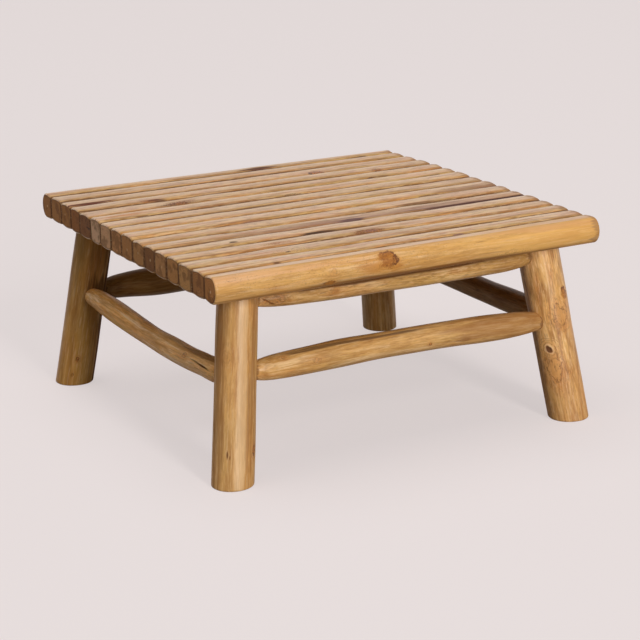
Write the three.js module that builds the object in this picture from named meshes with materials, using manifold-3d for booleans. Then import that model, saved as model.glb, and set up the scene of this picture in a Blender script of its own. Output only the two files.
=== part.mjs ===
// A low square table of teak poles: sixteen poles planed on their sides and
// laid edge to edge, four splayed round legs, four lower stretchers, two aprons
// and two side rails. Millimetres, +Z up, +X along the top poles, +Y to the back.
// The origin is on the floor under the centre of the top.

import * as THREE from 'three';
import { mergeVertices } from 'three/addons/utils/BufferGeometryUtils.js';
import Module from 'manifold-3d';

const wasm = await Module();
wasm.setup();

// Whole table
const TOP_LENGTH = 800;
const TOP_DEPTH = 800;
const TABLE_HEIGHT = 392;
const FIT_GAP = 0.3;
const CUT_OVERRUN = 20;

// Top poles
const POLE_THICKNESS = 50;
const POLE_CROWN = 1.2;
const POLE_SHOULDER_WIDTH = 11;
const POLE_SHOULDER_DEPTH = 4.2;
const POLE_END_ROUND = 3;
const POLE_END_SETBACK = 5;
const POLE_DIP = 5;

// Legs
const LEG_DIAMETER = 79;
const LEG_INSET_X = 85;
const LEG_INSET_Y = 90;
const LEG_SPLAY_X = 45;
const LEG_SPLAY_Y = 48;
const LEG_FOOT_BEVEL = 2.5;

// Aprons, side rails and stretchers
const APRON_DIAMETER = 45;
const RAIL_DIAMETER = 46;
const RAIL_FLAT_DEPTH = 3;
const FRONT_STRETCHER_DIAMETER = 50;
const FRONT_STRETCHER_HEIGHT = 194;
const BACK_STRETCHER_DIAMETER = 52;
const BACK_STRETCHER_HEIGHT = 190;
const LEFT_STRETCHER_DIAMETER = 45;
const LEFT_STRETCHER_FRONT_HEIGHT = 183;
const LEFT_STRETCHER_BACK_HEIGHT = 190;
const RIGHT_STRETCHER_DIAMETER = 52;
const RIGHT_STRETCHER_HEIGHT = 196;

// Round tenons on the ends of every rail
const TENON_DIAMETER = 22;
const TENON_WALL = 3;
const TENON_BEVEL = 1;

// Dowels that tie the poles side by side
const TIE_DIAMETER = 12;
const TIE_INSET = 150;
const TIE_END_COVER = 20;
const TIE_BEVEL = 1;

// Pegs that hold the top down on the legs
const PEG_DIAMETER = 14;
const PEG_LENGTH = 36;
const PEG_BEVEL = 1;
const PEG_OUTSET = 12;
const PEG_WALL = 5;

// Countersunk screws up through the side rails
const SCREW_LENGTH = 60;
const SCREW_SHANK_DIAMETER = 5;
const SCREW_HEAD_DIAMETER = 10;
const SCREW_HEAD_HEIGHT = 3;
const SCREW_POINT = 6;
const SCREW_SUNK = 10;

// The top's back edge, where each pole meets the next, and its front edge, at
// the left and right ends, as shares of the depth
const LEFT_EDGE_SHARES = [
  0.493, 0.434, 0.369, 0.306, 0.249, 0.183, 0.122, 0.06, 0,
  -0.064, -0.128, -0.184, -0.247, -0.31, -0.377, -0.44, -0.497,
];
const RIGHT_EDGE_SHARES = [
  0.481, 0.436, 0.378, 0.312, 0.249, 0.189, 0.126, 0.062, 0,
  -0.063, -0.125, -0.189, -0.25, -0.313, -0.372, -0.434, -0.497,
];
// How far each pole's crown falls to its shoulders, as shares of the crown
const CROWN_SHARES = [1, 0.85, 1.15, 0.9, 1.2, 1, 0.85, 1.1, 1, 1.3, 1.05, 0.9, 1.1, 0.85, 1, 1];
// How far each pole's crown lies below the highest ones, as shares of the dip
const LEFT_DIP_SHARES = [0, 0.1, 0.2, 0.1, 0.3, 0, 0.2, 0.1, 0, 0.3, 0.1, 0.2, 0, 0.2, 0.1, 0];
const RIGHT_DIP_SHARES = [1, 0.9, 0.7, 0.4, 0.2, 0.3, 0.1, 0.2, 0, 0.1, 0.3, 0, 0.2, 0, 0.1, 0];
// How far each pole's sawn ends stand back, as shares of the setback
const LEFT_SETBACK_SHARES = [1, 0.95, 0.8, 0.7, 0.5, 0.5, 0.3, 0.35, 0.2, 0.1, 0.25, 0.1, 0.2, 0, 0.15, 0];
const RIGHT_SETBACK_SHARES = [1, 1, 0.8, 0.6, 0.5, 0.3, 0.35, 0.2, 0.3, 0.1, 0.2, 0, 0.1, 0, 0.1, 0];

// Legs: share of the height, share of the diameter
const LEG_GIRTH_SHARES = [[0.2, 1], [0.5, 0.985], [0.75, 0.995], [1, 0.98]];
const OVAL_SHARE = 0.012;
const LOBE_SHARE = 0.007;

// Rails, from their first leg's axis to their second's: share of the length,
// then lift and girth as shares of the diameter
const FRONT_STRETCHER_SHARES = [
  [0.035, 0, 0.5], [0.055, 0, 0.66], [0.075, 0, 0.78], [0.1, 0.01, 0.87], [0.14, 0.025, 0.94],
  [0.22, 0.055, 1.01], [0.31, 0.1, 1.05], [0.42, 0.1, 0.97], [0.54, 0.1, 0.96], [0.67, 0.085, 0.965],
  [0.77, 0.055, 1.005], [0.85, 0.03, 0.96], [0.9, 0.02, 0.87], [0.928, 0.01, 0.78], [0.945, 0, 0.7],
  [0.965, 0, 0.5],
];
const BACK_STRETCHER_SHARES = [
  [0.035, 0, 0.5], [0.055, 0.01, 0.66], [0.08, 0.02, 0.84], [0.13, 0.03, 0.98], [0.22, 0, 1.12],
  [0.34, 0, 1.12], [0.5, 0.04, 1.04], [0.7, 0.04, 0.98], [0.87, 0.02, 1], [0.92, 0.01, 0.88],
  [0.945, 0, 0.68], [0.965, 0, 0.5],
];
const LEFT_STRETCHER_SHARES = [
  [0.035, 0, 0.5], [0.055, 0, 0.7], [0.075, -0.02, 0.85], [0.176, -0.09, 0.94], [0.276, -0.18, 0.95],
  [0.38, -0.21, 0.96], [0.49, -0.23, 0.92], [0.6, -0.18, 0.955], [0.69, -0.12, 0.975], [0.77, -0.06, 0.98],
  [0.84, -0.01, 0.92], [0.9, 0.02, 0.83], [0.93, 0.01, 0.76], [0.945, 0, 0.7], [0.965, 0, 0.5],
];
const RIGHT_STRETCHER_SHARES = [
  [0.035, 0, 0.5], [0.055, 0, 0.68], [0.08, 0, 0.84], [0.16, -0.02, 0.92], [0.35, -0.04, 0.88],
  [0.55, 0.01, 0.92], [0.75, 0.02, 1], [0.87, 0.01, 0.96], [0.92, 0, 0.86], [0.945, 0, 0.68], [0.965, 0, 0.5],
];
const APRON_SHARES = [
  [0.035, 0, 0.5], [0.058, 0, 0.58], [0.08, 0, 0.68], [0.13, 0, 0.82], [0.2, 0, 0.92], [0.3, 0, 1],
  [0.5, 0, 1.02], [0.8, 0, 1.01], [0.88, 0, 0.95], [0.92, 0, 0.82], [0.942, 0, 0.68], [0.965, 0, 0.5],
];
const RAIL_SHARES = [
  [0.035, 0, 0.5], [0.058, 0, 0.64], [0.08, 0, 0.85], [0.14, 0, 0.98], [0.5, 0, 1],
  [0.86, 0, 0.98], [0.92, 0, 0.85], [0.942, 0, 0.64], [0.965, 0, 0.5],
];

// How far beside the axis of its second leg a rail is let in, towards the right
// of its own direction, as shares of the leg's diameter
const FRONT_STRETCHER_SHIFT_SHARE = 0.11;
const FRONT_APRON_SHIFT_SHARE = 0.15;
const LEFT_STRETCHER_SHIFT_SHARE = -0.05;

// Which poles the side rails are screwed to, counted from the back
const SCREWED_POLES = [4, 7, 10, 13];

// Facets
const LEG_SIDES = 22;
const RAIL_SIDES = 16;
const TENON_SIDES = 10;
const PIN_SIDES = 8;
const SCREW_SIDES = 8;
const OUTER_STEPS = 9;

// Worked out from the sizes above
const POLE_COUNT = LEFT_EDGE_SHARES.length - 1;
const UNDERSIDE = TABLE_HEIGHT - POLE_THICKNESS;
const LEG_TOP = UNDERSIDE - FIT_GAP;
const LEG_RADIUS = LEG_DIAMETER / 2;
const TENON_RADIUS = TENON_DIAMETER / 2;
const TENON_DEPTH = LEG_RADIUS - TENON_RADIUS - TENON_WALL;
const UP = new THREE.Vector3(0, 0, 1);

const woodOf = (color, roughness) => new THREE.MeshStandardMaterial({ color, roughness, metalness: 0 });
const POLE_WOOD = woodOf(0xc89560, 0.62);
const LEG_WOOD = woodOf(0xb98a50, 0.58);
const RAIL_WOOD = woodOf(0xb5854c, 0.6);
const DOWEL_WOOD = woodOf(0xd8b98a, 0.7);
const STEEL = new THREE.MeshStandardMaterial({ color: 0xa8a9a8, roughness: 0.35, metalness: 1 });

// A closed body through rings that all run right-handed about the direction in
// which they follow each other.
function loft(rings) {
  const sides = rings[0].length;
  const positions = rings.flat().flatMap((point) => point.toArray());
  const ends = [rings[0], rings[rings.length - 1]];
  const centres = ends.map((ring) => ring.reduce((sum, point) => sum.add(point), new THREE.Vector3())
    .divideScalar(sides));
  centres.forEach((centre) => positions.push(...centre.toArray()));
  const firstCentre = rings.length * sides;
  const lastRing = (rings.length - 1) * sides;
  const index = [];
  for (let side = 0; side < sides; side += 1) {
    const next = (side + 1) % sides;
    index.push(firstCentre, next, side);
    index.push(firstCentre + 1, lastRing + side, lastRing + next);
    for (let ring = 0; ring < lastRing; ring += sides) {
      index.push(ring + side, ring + next, ring + sides + next);
      index.push(ring + side, ring + sides + next, ring + sides + side);
    }
  }
  const geometry = new THREE.BufferGeometry();
  geometry.setAttribute('position', new THREE.Float32BufferAttribute(positions, 3));
  geometry.setIndex(index);
  return geometry;
}

function solidOf(geometry) {
  const bare = geometry.clone();
  bare.deleteAttribute('normal');
  bare.deleteAttribute('uv');
  const merged = mergeVertices(bare);
  const vertProperties = new Float32Array(merged.attributes.position.array);
  const triVerts = new Uint32Array(merged.index.array);
  return new wasm.Manifold(new wasm.Mesh({ numProp: 3, vertProperties, triVerts }));
}

function meshOf(name, solid, material) {
  const { vertProperties, triVerts } = solid.getMesh();
  const geometry = new THREE.BufferGeometry();
  geometry.setAttribute('position', new THREE.BufferAttribute(vertProperties, 3));
  geometry.setIndex(new THREE.BufferAttribute(triVerts, 1));
  geometry.computeVertexNormals();
  const mesh = new THREE.Mesh(geometry, material);
  mesh.name = name;
  return mesh;
}

// A pin that starts at a point and runs along a direction, its ends bevelled
function pin(start, direction, diameter, length, bevel, sides) {
  const radius = diameter / 2;
  const profile = [
    [0, 0], [radius - bevel, 0], [radius, bevel],
    [radius, length - bevel], [radius - bevel, length], [0, length],
  ].map(([across, along]) => new THREE.Vector2(across, along));
  const geometry = new THREE.LatheGeometry(profile, sides);
  const turn = new THREE.Quaternion().setFromUnitVectors(new THREE.Vector3(0, 1, 0), direction);
  geometry.applyQuaternion(turn);
  geometry.translate(start.x, start.y, start.z);
  return solidOf(geometry);
}

// The hole that a pin leaves clear, closed at its far end and grown by the gap
function pinHole(start, direction, diameter, length, bevel, sides) {
  const from = start.clone().addScaledVector(direction, -FIT_GAP);
  return pin(from, direction, diameter + 2 * FIT_GAP, length + 2 * FIT_GAP, bevel, sides);
}

// A value that runs evenly from the left end of the top to its right end
function alongTop(left, right, x) {
  return left + (right - left) * (x / TOP_LENGTH + 0.5);
}

// Edge 0 is the back of the top, the last one its front, and pole 0 lies
// between edges 0 and 1
function edgeAt(edge, x) {
  return TOP_DEPTH * alongTop(LEFT_EDGE_SHARES[edge], RIGHT_EDGE_SHARES[edge], x);
}

function poleMiddle(pole, x) {
  return (edgeAt(pole, x) + edgeAt(pole + 1, x)) / 2;
}

// One half of a pole's section from the middle of its crown down to the middle
// of its underside: planed flat where it meets a neighbour, round where it doesn't.
function halfSection(halfWidth, halfHeight, crown, planed) {
  if (!planed) {
    const fullest = Math.cos(Math.PI / (2 * OUTER_STEPS));
    return Array.from({ length: OUTER_STEPS }, (_, step) => {
      const angle = Math.PI * (0.5 - step / OUTER_STEPS);
      return [(halfWidth * Math.cos(angle)) / fullest, halfHeight * Math.sin(angle)];
    });
  }
  const flatEdge = halfWidth - POLE_SHOULDER_WIDTH;
  const shoulder = [Math.PI / 6, Math.PI / 3, Math.PI / 2].map((angle) => [
    flatEdge + POLE_SHOULDER_WIDTH * Math.sin(angle),
    halfHeight - crown - POLE_SHOULDER_DEPTH * (1 - Math.cos(angle)),
  ]);
  const upper = [[0, halfHeight], [flatEdge, halfHeight - crown], ...shoulder];
  const lower = upper.slice(1).reverse().map(([across, up]) => [across, -up]);
  return [...upper, ...lower];
}

function poleRing(pole, x, inset) {
  const sideGap = FIT_GAP / 2;
  const back = edgeAt(pole, x) - (pole === 0 ? 0 : sideGap) - inset;
  const front = edgeAt(pole + 1, x) + (pole === POLE_COUNT - 1 ? 0 : sideGap) + inset;
  const dip = POLE_DIP * alongTop(LEFT_DIP_SHARES[pole], RIGHT_DIP_SHARES[pole], x);
  const top = TABLE_HEIGHT - dip - inset;
  const bottom = UNDERSIDE + inset;
  const middle = new THREE.Vector3(x, (back + front) / 2, (top + bottom) / 2);
  const crown = POLE_CROWN * CROWN_SHARES[pole];
  const halfWidth = (back - front) / 2;
  const halfHeight = (top - bottom) / 2;
  const frontHalf = halfSection(halfWidth, halfHeight, crown, pole !== POLE_COUNT - 1);
  const backHalf = halfSection(halfWidth, halfHeight, crown, pole !== 0);
  const down = frontHalf.map(([across, up]) => new THREE.Vector3(0, -across, up).add(middle));
  const upAgain = backHalf.map(([across, up]) => new THREE.Vector3(0, across, -up).add(middle));
  return [...down, ...upAgain];
}

function poleBody(pole) {
  const left = -TOP_LENGTH / 2 + POLE_END_SETBACK * LEFT_SETBACK_SHARES[pole];
  const right = TOP_LENGTH / 2 - POLE_END_SETBACK * RIGHT_SETBACK_SHARES[pole];
  const softened = POLE_END_ROUND * (1 - Math.SQRT1_2);
  const rings = [
    poleRing(pole, left, POLE_END_ROUND),
    poleRing(pole, left + softened, softened),
    poleRing(pole, left + POLE_END_ROUND, 0),
    poleRing(pole, right - POLE_END_ROUND, 0),
    poleRing(pole, right - softened, softened),
    poleRing(pole, right, POLE_END_ROUND),
  ];
  return solidOf(loft(rings));
}

// A leg is named by its side and its end: -1 or 1 across, -1 front or 1 back
function legAxisAt(leg, height) {
  const fall = 1 - height / UNDERSIDE;
  return new THREE.Vector3(
    leg.side * (TOP_LENGTH / 2 - LEG_INSET_X + LEG_SPLAY_X * fall),
    leg.end * (TOP_DEPTH / 2 - LEG_INSET_Y + LEG_SPLAY_Y * fall),
    height,
  );
}

// Horizontal sections of a leaning round pole are longer the way it leans
function legRing(leg, height, radius) {
  const middle = legAxisAt(leg, height);
  const lean = new THREE.Vector2(leg.side * LEG_SPLAY_X, leg.end * LEG_SPLAY_Y);
  const stretch = Math.hypot(lean.length(), UNDERSIDE) / UNDERSIDE;
  lean.normalize();
  return Array.from({ length: LEG_SIDES }, (_, step) => {
    const angle = (2 * Math.PI * step) / LEG_SIDES;
    const oval = OVAL_SHARE * Math.cos(2 * angle + leg.turn);
    const natural = 1 + oval + LOBE_SHARE * Math.cos(3 * angle - leg.turn);
    const onward = radius * natural * stretch * Math.cos(angle);
    const across = radius * natural * Math.sin(angle);
    return new THREE.Vector3(
      middle.x + lean.x * onward - lean.y * across,
      middle.y + lean.y * onward + lean.x * across,
      middle.z,
    );
  });
}

// With growth, the leg and the clear space round it
function legBody(leg, growth) {
  const radiusAt = (place, girth) => (
    LEG_RADIUS * girth * THREE.MathUtils.lerp(leg.footGirth, leg.topGirth, place) + growth
  );
  const rings = [
    legRing(leg, 0, radiusAt(0, 1) - LEG_FOOT_BEVEL),
    legRing(leg, LEG_FOOT_BEVEL, radiusAt(0, 1)),
    ...LEG_GIRTH_SHARES.map(([place, girth]) => legRing(leg, place * LEG_TOP, radiusAt(place, girth))),
  ];
  return solidOf(loft(rings));
}

// The straight line of a rail between two legs, beside their axes by its shifts
function railLine(rail) {
  const start = legAxisAt(rail.from, rail.fromHeight);
  const end = legAxisAt(rail.to, rail.toHeight);
  const aside = new THREE.Vector3().subVectors(end, start).cross(UP).normalize();
  start.addScaledVector(aside, rail.fromShift * LEG_DIAMETER);
  end.addScaledVector(aside, rail.toShift * LEG_DIAMETER);
  const span = new THREE.Vector3().subVectors(end, start);
  return { start, end, length: span.length(), along: span.normalize() };
}

// The ends that stand in the legs, each with the direction into its leg
function railEnds(rail) {
  const { start, end, along } = railLine(rail);
  return [
    { leg: rail.from, axis: start, inward: along.clone().negate() },
    { leg: rail.to, axis: end, inward: along.clone() },
  ];
}

function railBody(rail) {
  const { start, length, along } = railLine(rail);
  const side = new THREE.Vector3().crossVectors(UP, along).normalize();
  const up = new THREE.Vector3().crossVectors(along, side);
  const rings = rail.shares.map(([place, lift, girth]) => {
    const middle = start.clone().addScaledVector(along, place * length);
    middle.addScaledVector(up, lift * rail.diameter);
    return Array.from({ length: RAIL_SIDES }, (_, corner) => {
      const angle = (2 * Math.PI * (corner + 0.5)) / RAIL_SIDES;
      const radius = (girth * rail.diameter) / 2;
      return middle.clone()
        .addScaledVector(side, radius * Math.cos(angle))
        .addScaledVector(up, radius * Math.sin(angle));
    });
  });
  return solidOf(loft(rings));
}

// A tenon starts inside the nose of its rail and ends short of the leg's axis
function tenonAt(end, grown) {
  const reach = LEG_RADIUS + TENON_DIAMETER / 2;
  const start = end.axis.clone().addScaledVector(end.inward, -reach);
  const length = reach - LEG_RADIUS + TENON_DEPTH;
  const make = grown ? pinHole : pin;
  return make(start, end.inward, TENON_DIAMETER, length, TENON_BEVEL, TENON_SIDES);
}

// A flat planed along the top of a side rail, for the poles to lie on
function planeTop(solid) {
  const cutter = new THREE.BoxGeometry(TOP_LENGTH, TOP_DEPTH, POLE_THICKNESS);
  cutter.translate(0, 0, UNDERSIDE - FIT_GAP + POLE_THICKNESS / 2);
  return solid.subtract(solidOf(cutter));
}

// A countersunk screw pointing up from its head, or with growth its hole
function screw(place, growth) {
  const shank = SCREW_SHANK_DIAMETER / 2 + growth;
  const head = SCREW_HEAD_DIAMETER / 2 + growth;
  const access = growth > 0 ? SCREW_SUNK + CUT_OVERRUN : 0;
  const profile = [
    [0, -access], [head, -access], [head, 0], [shank, SCREW_HEAD_HEIGHT + growth],
    [shank, SCREW_LENGTH - SCREW_POINT], [0, SCREW_LENGTH + growth],
  ].map(([across, up]) => new THREE.Vector2(across, up));
  const outline = growth > 0 ? profile : profile.filter((_, corner) => corner !== 2);
  const geometry = new THREE.LatheGeometry(outline, SCREW_SIDES);
  geometry.rotateX(Math.PI / 2);
  geometry.translate(place.x, place.y, place.z);
  return solidOf(geometry);
}

const LEGS = [
  { name: 'leg_front_left', side: -1, end: -1, turn: 0.4, footGirth: 0.985, topGirth: 0.96 },
  { name: 'leg_front_right', side: 1, end: -1, turn: 1.9, footGirth: 0.98, topGirth: 1.03 },
  { name: 'leg_back_left', side: -1, end: 1, turn: 3.1, footGirth: 0.96, topGirth: 0.955 },
  { name: 'leg_back_right', side: 1, end: 1, turn: 4.6, footGirth: 0.93, topGirth: 0.91 },
];
const [FRONT_LEFT, FRONT_RIGHT, BACK_LEFT, BACK_RIGHT] = LEGS;

const widest = (shares) => Math.max(...shares.map(([, , girth]) => girth));
const APRON_HEIGHT = UNDERSIDE - FIT_GAP - (APRON_DIAMETER / 2) * widest(APRON_SHARES);
const RAIL_HEIGHT = UNDERSIDE - FIT_GAP - (RAIL_DIAMETER / 2 - RAIL_FLAT_DEPTH);

const level = (name, from, to, height, diameter, shares, toShift = 0) => (
  { name, from, to, fromHeight: height, toHeight: height, fromShift: 0, toShift, diameter, shares }
);
const RAILS = [
  level('stretcher_front', FRONT_LEFT, FRONT_RIGHT, FRONT_STRETCHER_HEIGHT, FRONT_STRETCHER_DIAMETER,
    FRONT_STRETCHER_SHARES, FRONT_STRETCHER_SHIFT_SHARE),
  level('stretcher_back', BACK_LEFT, BACK_RIGHT, BACK_STRETCHER_HEIGHT, BACK_STRETCHER_DIAMETER,
    BACK_STRETCHER_SHARES),
  {
    name: 'stretcher_left',
    from: FRONT_LEFT,
    to: BACK_LEFT,
    fromHeight: LEFT_STRETCHER_FRONT_HEIGHT,
    toHeight: LEFT_STRETCHER_BACK_HEIGHT,
    fromShift: 0,
    toShift: LEFT_STRETCHER_SHIFT_SHARE,
    diameter: LEFT_STRETCHER_DIAMETER,
    shares: LEFT_STRETCHER_SHARES,
  },
  level('stretcher_right', FRONT_RIGHT, BACK_RIGHT, RIGHT_STRETCHER_HEIGHT, RIGHT_STRETCHER_DIAMETER,
    RIGHT_STRETCHER_SHARES),
  level('apron_front', FRONT_LEFT, FRONT_RIGHT, APRON_HEIGHT, APRON_DIAMETER, APRON_SHARES,
    FRONT_APRON_SHIFT_SHARE),
  level('apron_back', BACK_LEFT, BACK_RIGHT, APRON_HEIGHT, APRON_DIAMETER, APRON_SHARES),
  level('side_rail_left', FRONT_LEFT, BACK_LEFT, RAIL_HEIGHT, RAIL_DIAMETER, RAIL_SHARES),
  level('side_rail_right', FRONT_RIGHT, BACK_RIGHT, RAIL_HEIGHT, RAIL_DIAMETER, RAIL_SHARES),
];
const SIDE_RAILS = RAILS.filter((rail) => rail.name.startsWith('side_rail'));

// The screws of each side rail, each with the pole that it bites
const SCREWS = SIDE_RAILS.flatMap((rail) => SCREWED_POLES.map((number, order) => {
  const pole = number - 1;
  const { x } = railLine(rail).start;
  const height = RAIL_HEIGHT - RAIL_DIAMETER / 2 + SCREW_SUNK;
  const name = rail.name.replace('side_rail', 'rail_screw');
  const place = new THREE.Vector3(x, poleMiddle(pole, x), height);
  return { name: `${name}_${order + 1}`, rail, pole, place };
}));

// The peg of each leg stands outside the leg's axis, clear of the tenons, and
// inside one pole, clear of its sides
const PEGS = LEGS.map((leg) => {
  const top = legAxisAt(leg, LEG_TOP);
  const x = top.x + leg.side * (PEG_DIAMETER / 2);
  const wished = top.y + leg.end * PEG_OUTSET;
  const poles = Array.from({ length: POLE_COUNT }, (_, pole) => pole);
  const pole = poles.find((each) => edgeAt(each + 1, x) <= wished);
  const room = PEG_DIAMETER / 2 + PEG_WALL;
  const y = THREE.MathUtils.clamp(wished, edgeAt(pole + 1, x) + room, edgeAt(pole, x) - room);
  const start = new THREE.Vector3(x, y, UNDERSIDE - PEG_LENGTH / 2);
  return { name: leg.name.replace('leg', 'leg_peg'), leg, pole, start };
});

// The ties run through every pole and stop inside the outer two
const TIE_LENGTH = TOP_DEPTH - 2 * TIE_END_COVER;
const TIE_HEIGHT = UNDERSIDE + POLE_THICKNESS / 2;
const TIES = [['left', -1], ['middle', 0], ['right', 1]].map(([name, side]) => ({
  name: `tie_dowel_${name}`,
  start: new THREE.Vector3(side * (TOP_LENGTH / 2 - TIE_INSET), -TIE_LENGTH / 2, TIE_HEIGHT),
}));
const BACKWARD = new THREE.Vector3(0, 1, 0);

function buildPole(pole) {
  let solid = poleBody(pole);
  for (const tie of TIES) {
    solid = solid.subtract(pinHole(tie.start, BACKWARD, TIE_DIAMETER, TIE_LENGTH, TIE_BEVEL, PIN_SIDES));
  }
  for (const peg of PEGS.filter((each) => each.pole === pole)) {
    solid = solid.subtract(pinHole(peg.start, UP, PEG_DIAMETER, PEG_LENGTH, PEG_BEVEL, PIN_SIDES));
  }
  for (const each of SCREWS.filter((bite) => bite.pole === pole)) {
    solid = solid.subtract(screw(each.place, FIT_GAP));
  }
  const number = String(pole + 1).padStart(2, '0');
  return meshOf(`top_pole_${number}`, solid, POLE_WOOD);
}

function buildLeg(leg) {
  let solid = legBody(leg, 0);
  for (const end of RAILS.flatMap(railEnds).filter((each) => each.leg === leg)) {
    solid = solid.subtract(tenonAt(end, true));
  }
  for (const peg of PEGS.filter((each) => each.leg === leg)) {
    solid = solid.subtract(pinHole(peg.start, UP, PEG_DIAMETER, PEG_LENGTH, PEG_BEVEL, PIN_SIDES));
  }
  return meshOf(leg.name, solid, LEG_WOOD);
}

function buildRail(rail) {
  let solid = railBody(rail);
  if (SIDE_RAILS.includes(rail)) solid = planeTop(solid);
  for (const end of railEnds(rail)) {
    solid = solid.subtract(legBody(end.leg, FIT_GAP)).add(tenonAt(end, false));
  }
  for (const each of SCREWS.filter((bite) => bite.rail === rail)) {
    solid = solid.subtract(screw(each.place, FIT_GAP));
  }
  return meshOf(rail.name, solid, RAIL_WOOD);
}

const table = new THREE.Group();
for (let pole = 0; pole < POLE_COUNT; pole += 1) table.add(buildPole(pole));
LEGS.forEach((leg) => table.add(buildLeg(leg)));
RAILS.forEach((rail) => table.add(buildRail(rail)));
for (const tie of TIES) {
  const dowel = pin(tie.start, BACKWARD, TIE_DIAMETER, TIE_LENGTH, TIE_BEVEL, PIN_SIDES);
  table.add(meshOf(tie.name, dowel, DOWEL_WOOD));
}
for (const peg of PEGS) {
  const dowel = pin(peg.start, UP, PEG_DIAMETER, PEG_LENGTH, PEG_BEVEL, PIN_SIDES);
  table.add(meshOf(peg.name, dowel, DOWEL_WOOD));
}
for (const each of SCREWS) table.add(meshOf(each.name, screw(each.place, 0), STEEL));

export default table;
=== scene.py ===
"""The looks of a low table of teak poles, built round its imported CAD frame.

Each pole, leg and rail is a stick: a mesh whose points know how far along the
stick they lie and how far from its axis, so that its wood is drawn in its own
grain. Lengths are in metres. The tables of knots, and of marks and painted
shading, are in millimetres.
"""

import math
from collections import namedtuple

import bmesh
import bpy
import numpy as np
from mathutils import Matrix, Vector


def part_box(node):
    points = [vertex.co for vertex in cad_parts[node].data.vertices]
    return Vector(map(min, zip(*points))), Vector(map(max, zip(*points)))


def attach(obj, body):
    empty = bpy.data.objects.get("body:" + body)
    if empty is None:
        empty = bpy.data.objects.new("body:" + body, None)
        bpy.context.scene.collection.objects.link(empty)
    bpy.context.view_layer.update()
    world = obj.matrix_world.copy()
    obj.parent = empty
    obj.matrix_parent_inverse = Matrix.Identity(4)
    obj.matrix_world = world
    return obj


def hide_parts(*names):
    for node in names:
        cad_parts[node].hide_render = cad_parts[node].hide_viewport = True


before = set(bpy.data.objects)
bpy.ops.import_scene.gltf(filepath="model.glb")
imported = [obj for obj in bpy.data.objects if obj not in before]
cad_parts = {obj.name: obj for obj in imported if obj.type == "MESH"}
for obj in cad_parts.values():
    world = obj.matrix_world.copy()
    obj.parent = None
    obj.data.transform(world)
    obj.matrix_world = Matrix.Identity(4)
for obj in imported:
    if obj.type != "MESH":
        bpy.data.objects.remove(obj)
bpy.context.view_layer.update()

MM = 0.001


def put_in_scene(name, data):
    thing = bpy.data.objects.new(name, data)
    bpy.context.scene.collection.objects.link(thing)
    return thing


def facing(turn, rise, roll=0.0):
    """The rotation whose Z axis points turn degrees round from the front, and rise up."""
    angles = ((turn, "Z"), (90 - rise, "X"), (roll, "Z"))
    first, second, third = (Matrix.Rotation(math.radians(angle), 4, axis) for angle, axis in angles)
    return first @ second @ third


# The camera, at the photograph's viewing angle
LENS_MM, SENSOR_MM = 128.76, 36.0
CAMERA_AT = (-2.0407, -3.7885, 1.4111)
CAMERA_YAW, CAMERA_RISE, CAMERA_ROLL = -28.51, 16.22, -1.11
CLIP_START, CLIP_END = 0.1, 60


def add_camera():
    data = bpy.data.cameras.new("camera")
    data.lens, data.sensor_width = LENS_MM, SENSOR_MM
    data.clip_start, data.clip_end = CLIP_START, CLIP_END
    camera = put_in_scene("camera", data)
    camera.matrix_world = Matrix.Translation(CAMERA_AT) @ facing(CAMERA_YAW, CAMERA_RISE, CAMERA_ROLL)
    bpy.context.scene.camera = camera


add_camera()


# Smooth seeded noise on numpy arrays
AXIS_FACTORS, SEED_FACTOR = (73856093, 19349663, 83492791), 2654435761
STIRRERS = ((13, 1274126177), (16, 2246822519))
LOW_32_BITS = 0xFFFFFFFF
NOISE_SHIFT = 17.3


def lattice(points, seed):
    """Smooth noise from -1 to 1 at points (..., 3), one wave to each unit."""
    cell = np.floor(points).astype(np.int64)
    part = points - cell
    part = part * part * (3 - 2 * part)
    total = np.zeros(points.shape[:-1])
    for corner in np.ndindex(2, 2, 2):
        at = cell + np.array(corner)
        key = seed * SEED_FACTOR
        for axis, factor in enumerate(AXIS_FACTORS):
            key = key ^ (at[..., axis] * factor)
        for shift, factor in STIRRERS:
            key = (key ^ (key >> shift)) * factor & LOW_32_BITS
        value = ((key ^ (key >> 15)) & 0xFFFF) / 32767.5 - 1
        weight = np.ones(points.shape[:-1])
        for axis in range(3):
            weight = weight * (part[..., axis] if corner[axis] else 1 - part[..., axis])
        total = total + weight * value
    return total


def relief(along, first, second, seed, period, span):
    """Noise whose waves are period long along the grain and span wide across it."""
    points = np.stack([along / period, first / span, second / span], axis=-1)
    return lattice(points + NOISE_SHIFT, seed)


def eased(low, high, value):
    share = np.clip((value - low) / (high - low), 0, 1)
    return share * share * (3 - 2 * share)


def smooth_through(places, values, at):
    """A smooth curve through the rows of a table, read at many places."""
    places, values = np.array(places, float), np.array(values, float)
    slopes = np.gradient(values, places)
    cell = np.clip(np.searchsorted(places, at) - 1, 0, len(places) - 2)
    width = places[cell + 1] - places[cell]
    t = np.clip((at - places[cell]) / width, 0, 1)
    rise = t * t * (3 - 2 * t)
    lead = t * (1 - t) ** 2 * width * slopes[cell]
    trail = -t * t * (1 - t) * width * slopes[cell + 1]
    return values[cell] + (values[cell + 1] - values[cell]) * rise + lead + trail


# The kinds of knot: a plain one, a hole, a patch of turned grain, a crumbled one
PLAIN, HOLE, PATCH, CRUMBLED = range(4)
KNOT_SPREAD, HOLE_SPREAD, HOLE_DEPTH = 1.3, 0.42, 2.6

# The rings of an end face, as shares of its size, and how much of an end face
# the outermost ring counts as
CAP_SHARES = np.array([0.9, 0.8, 0.68, 0.55, 0.42, 0.28, 0.14])
ARRIS_CAP = 0.85
SAW_SEED, SAW_WAVE, SAW_DEPTH = 5, 0.004, 0.00025


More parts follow.
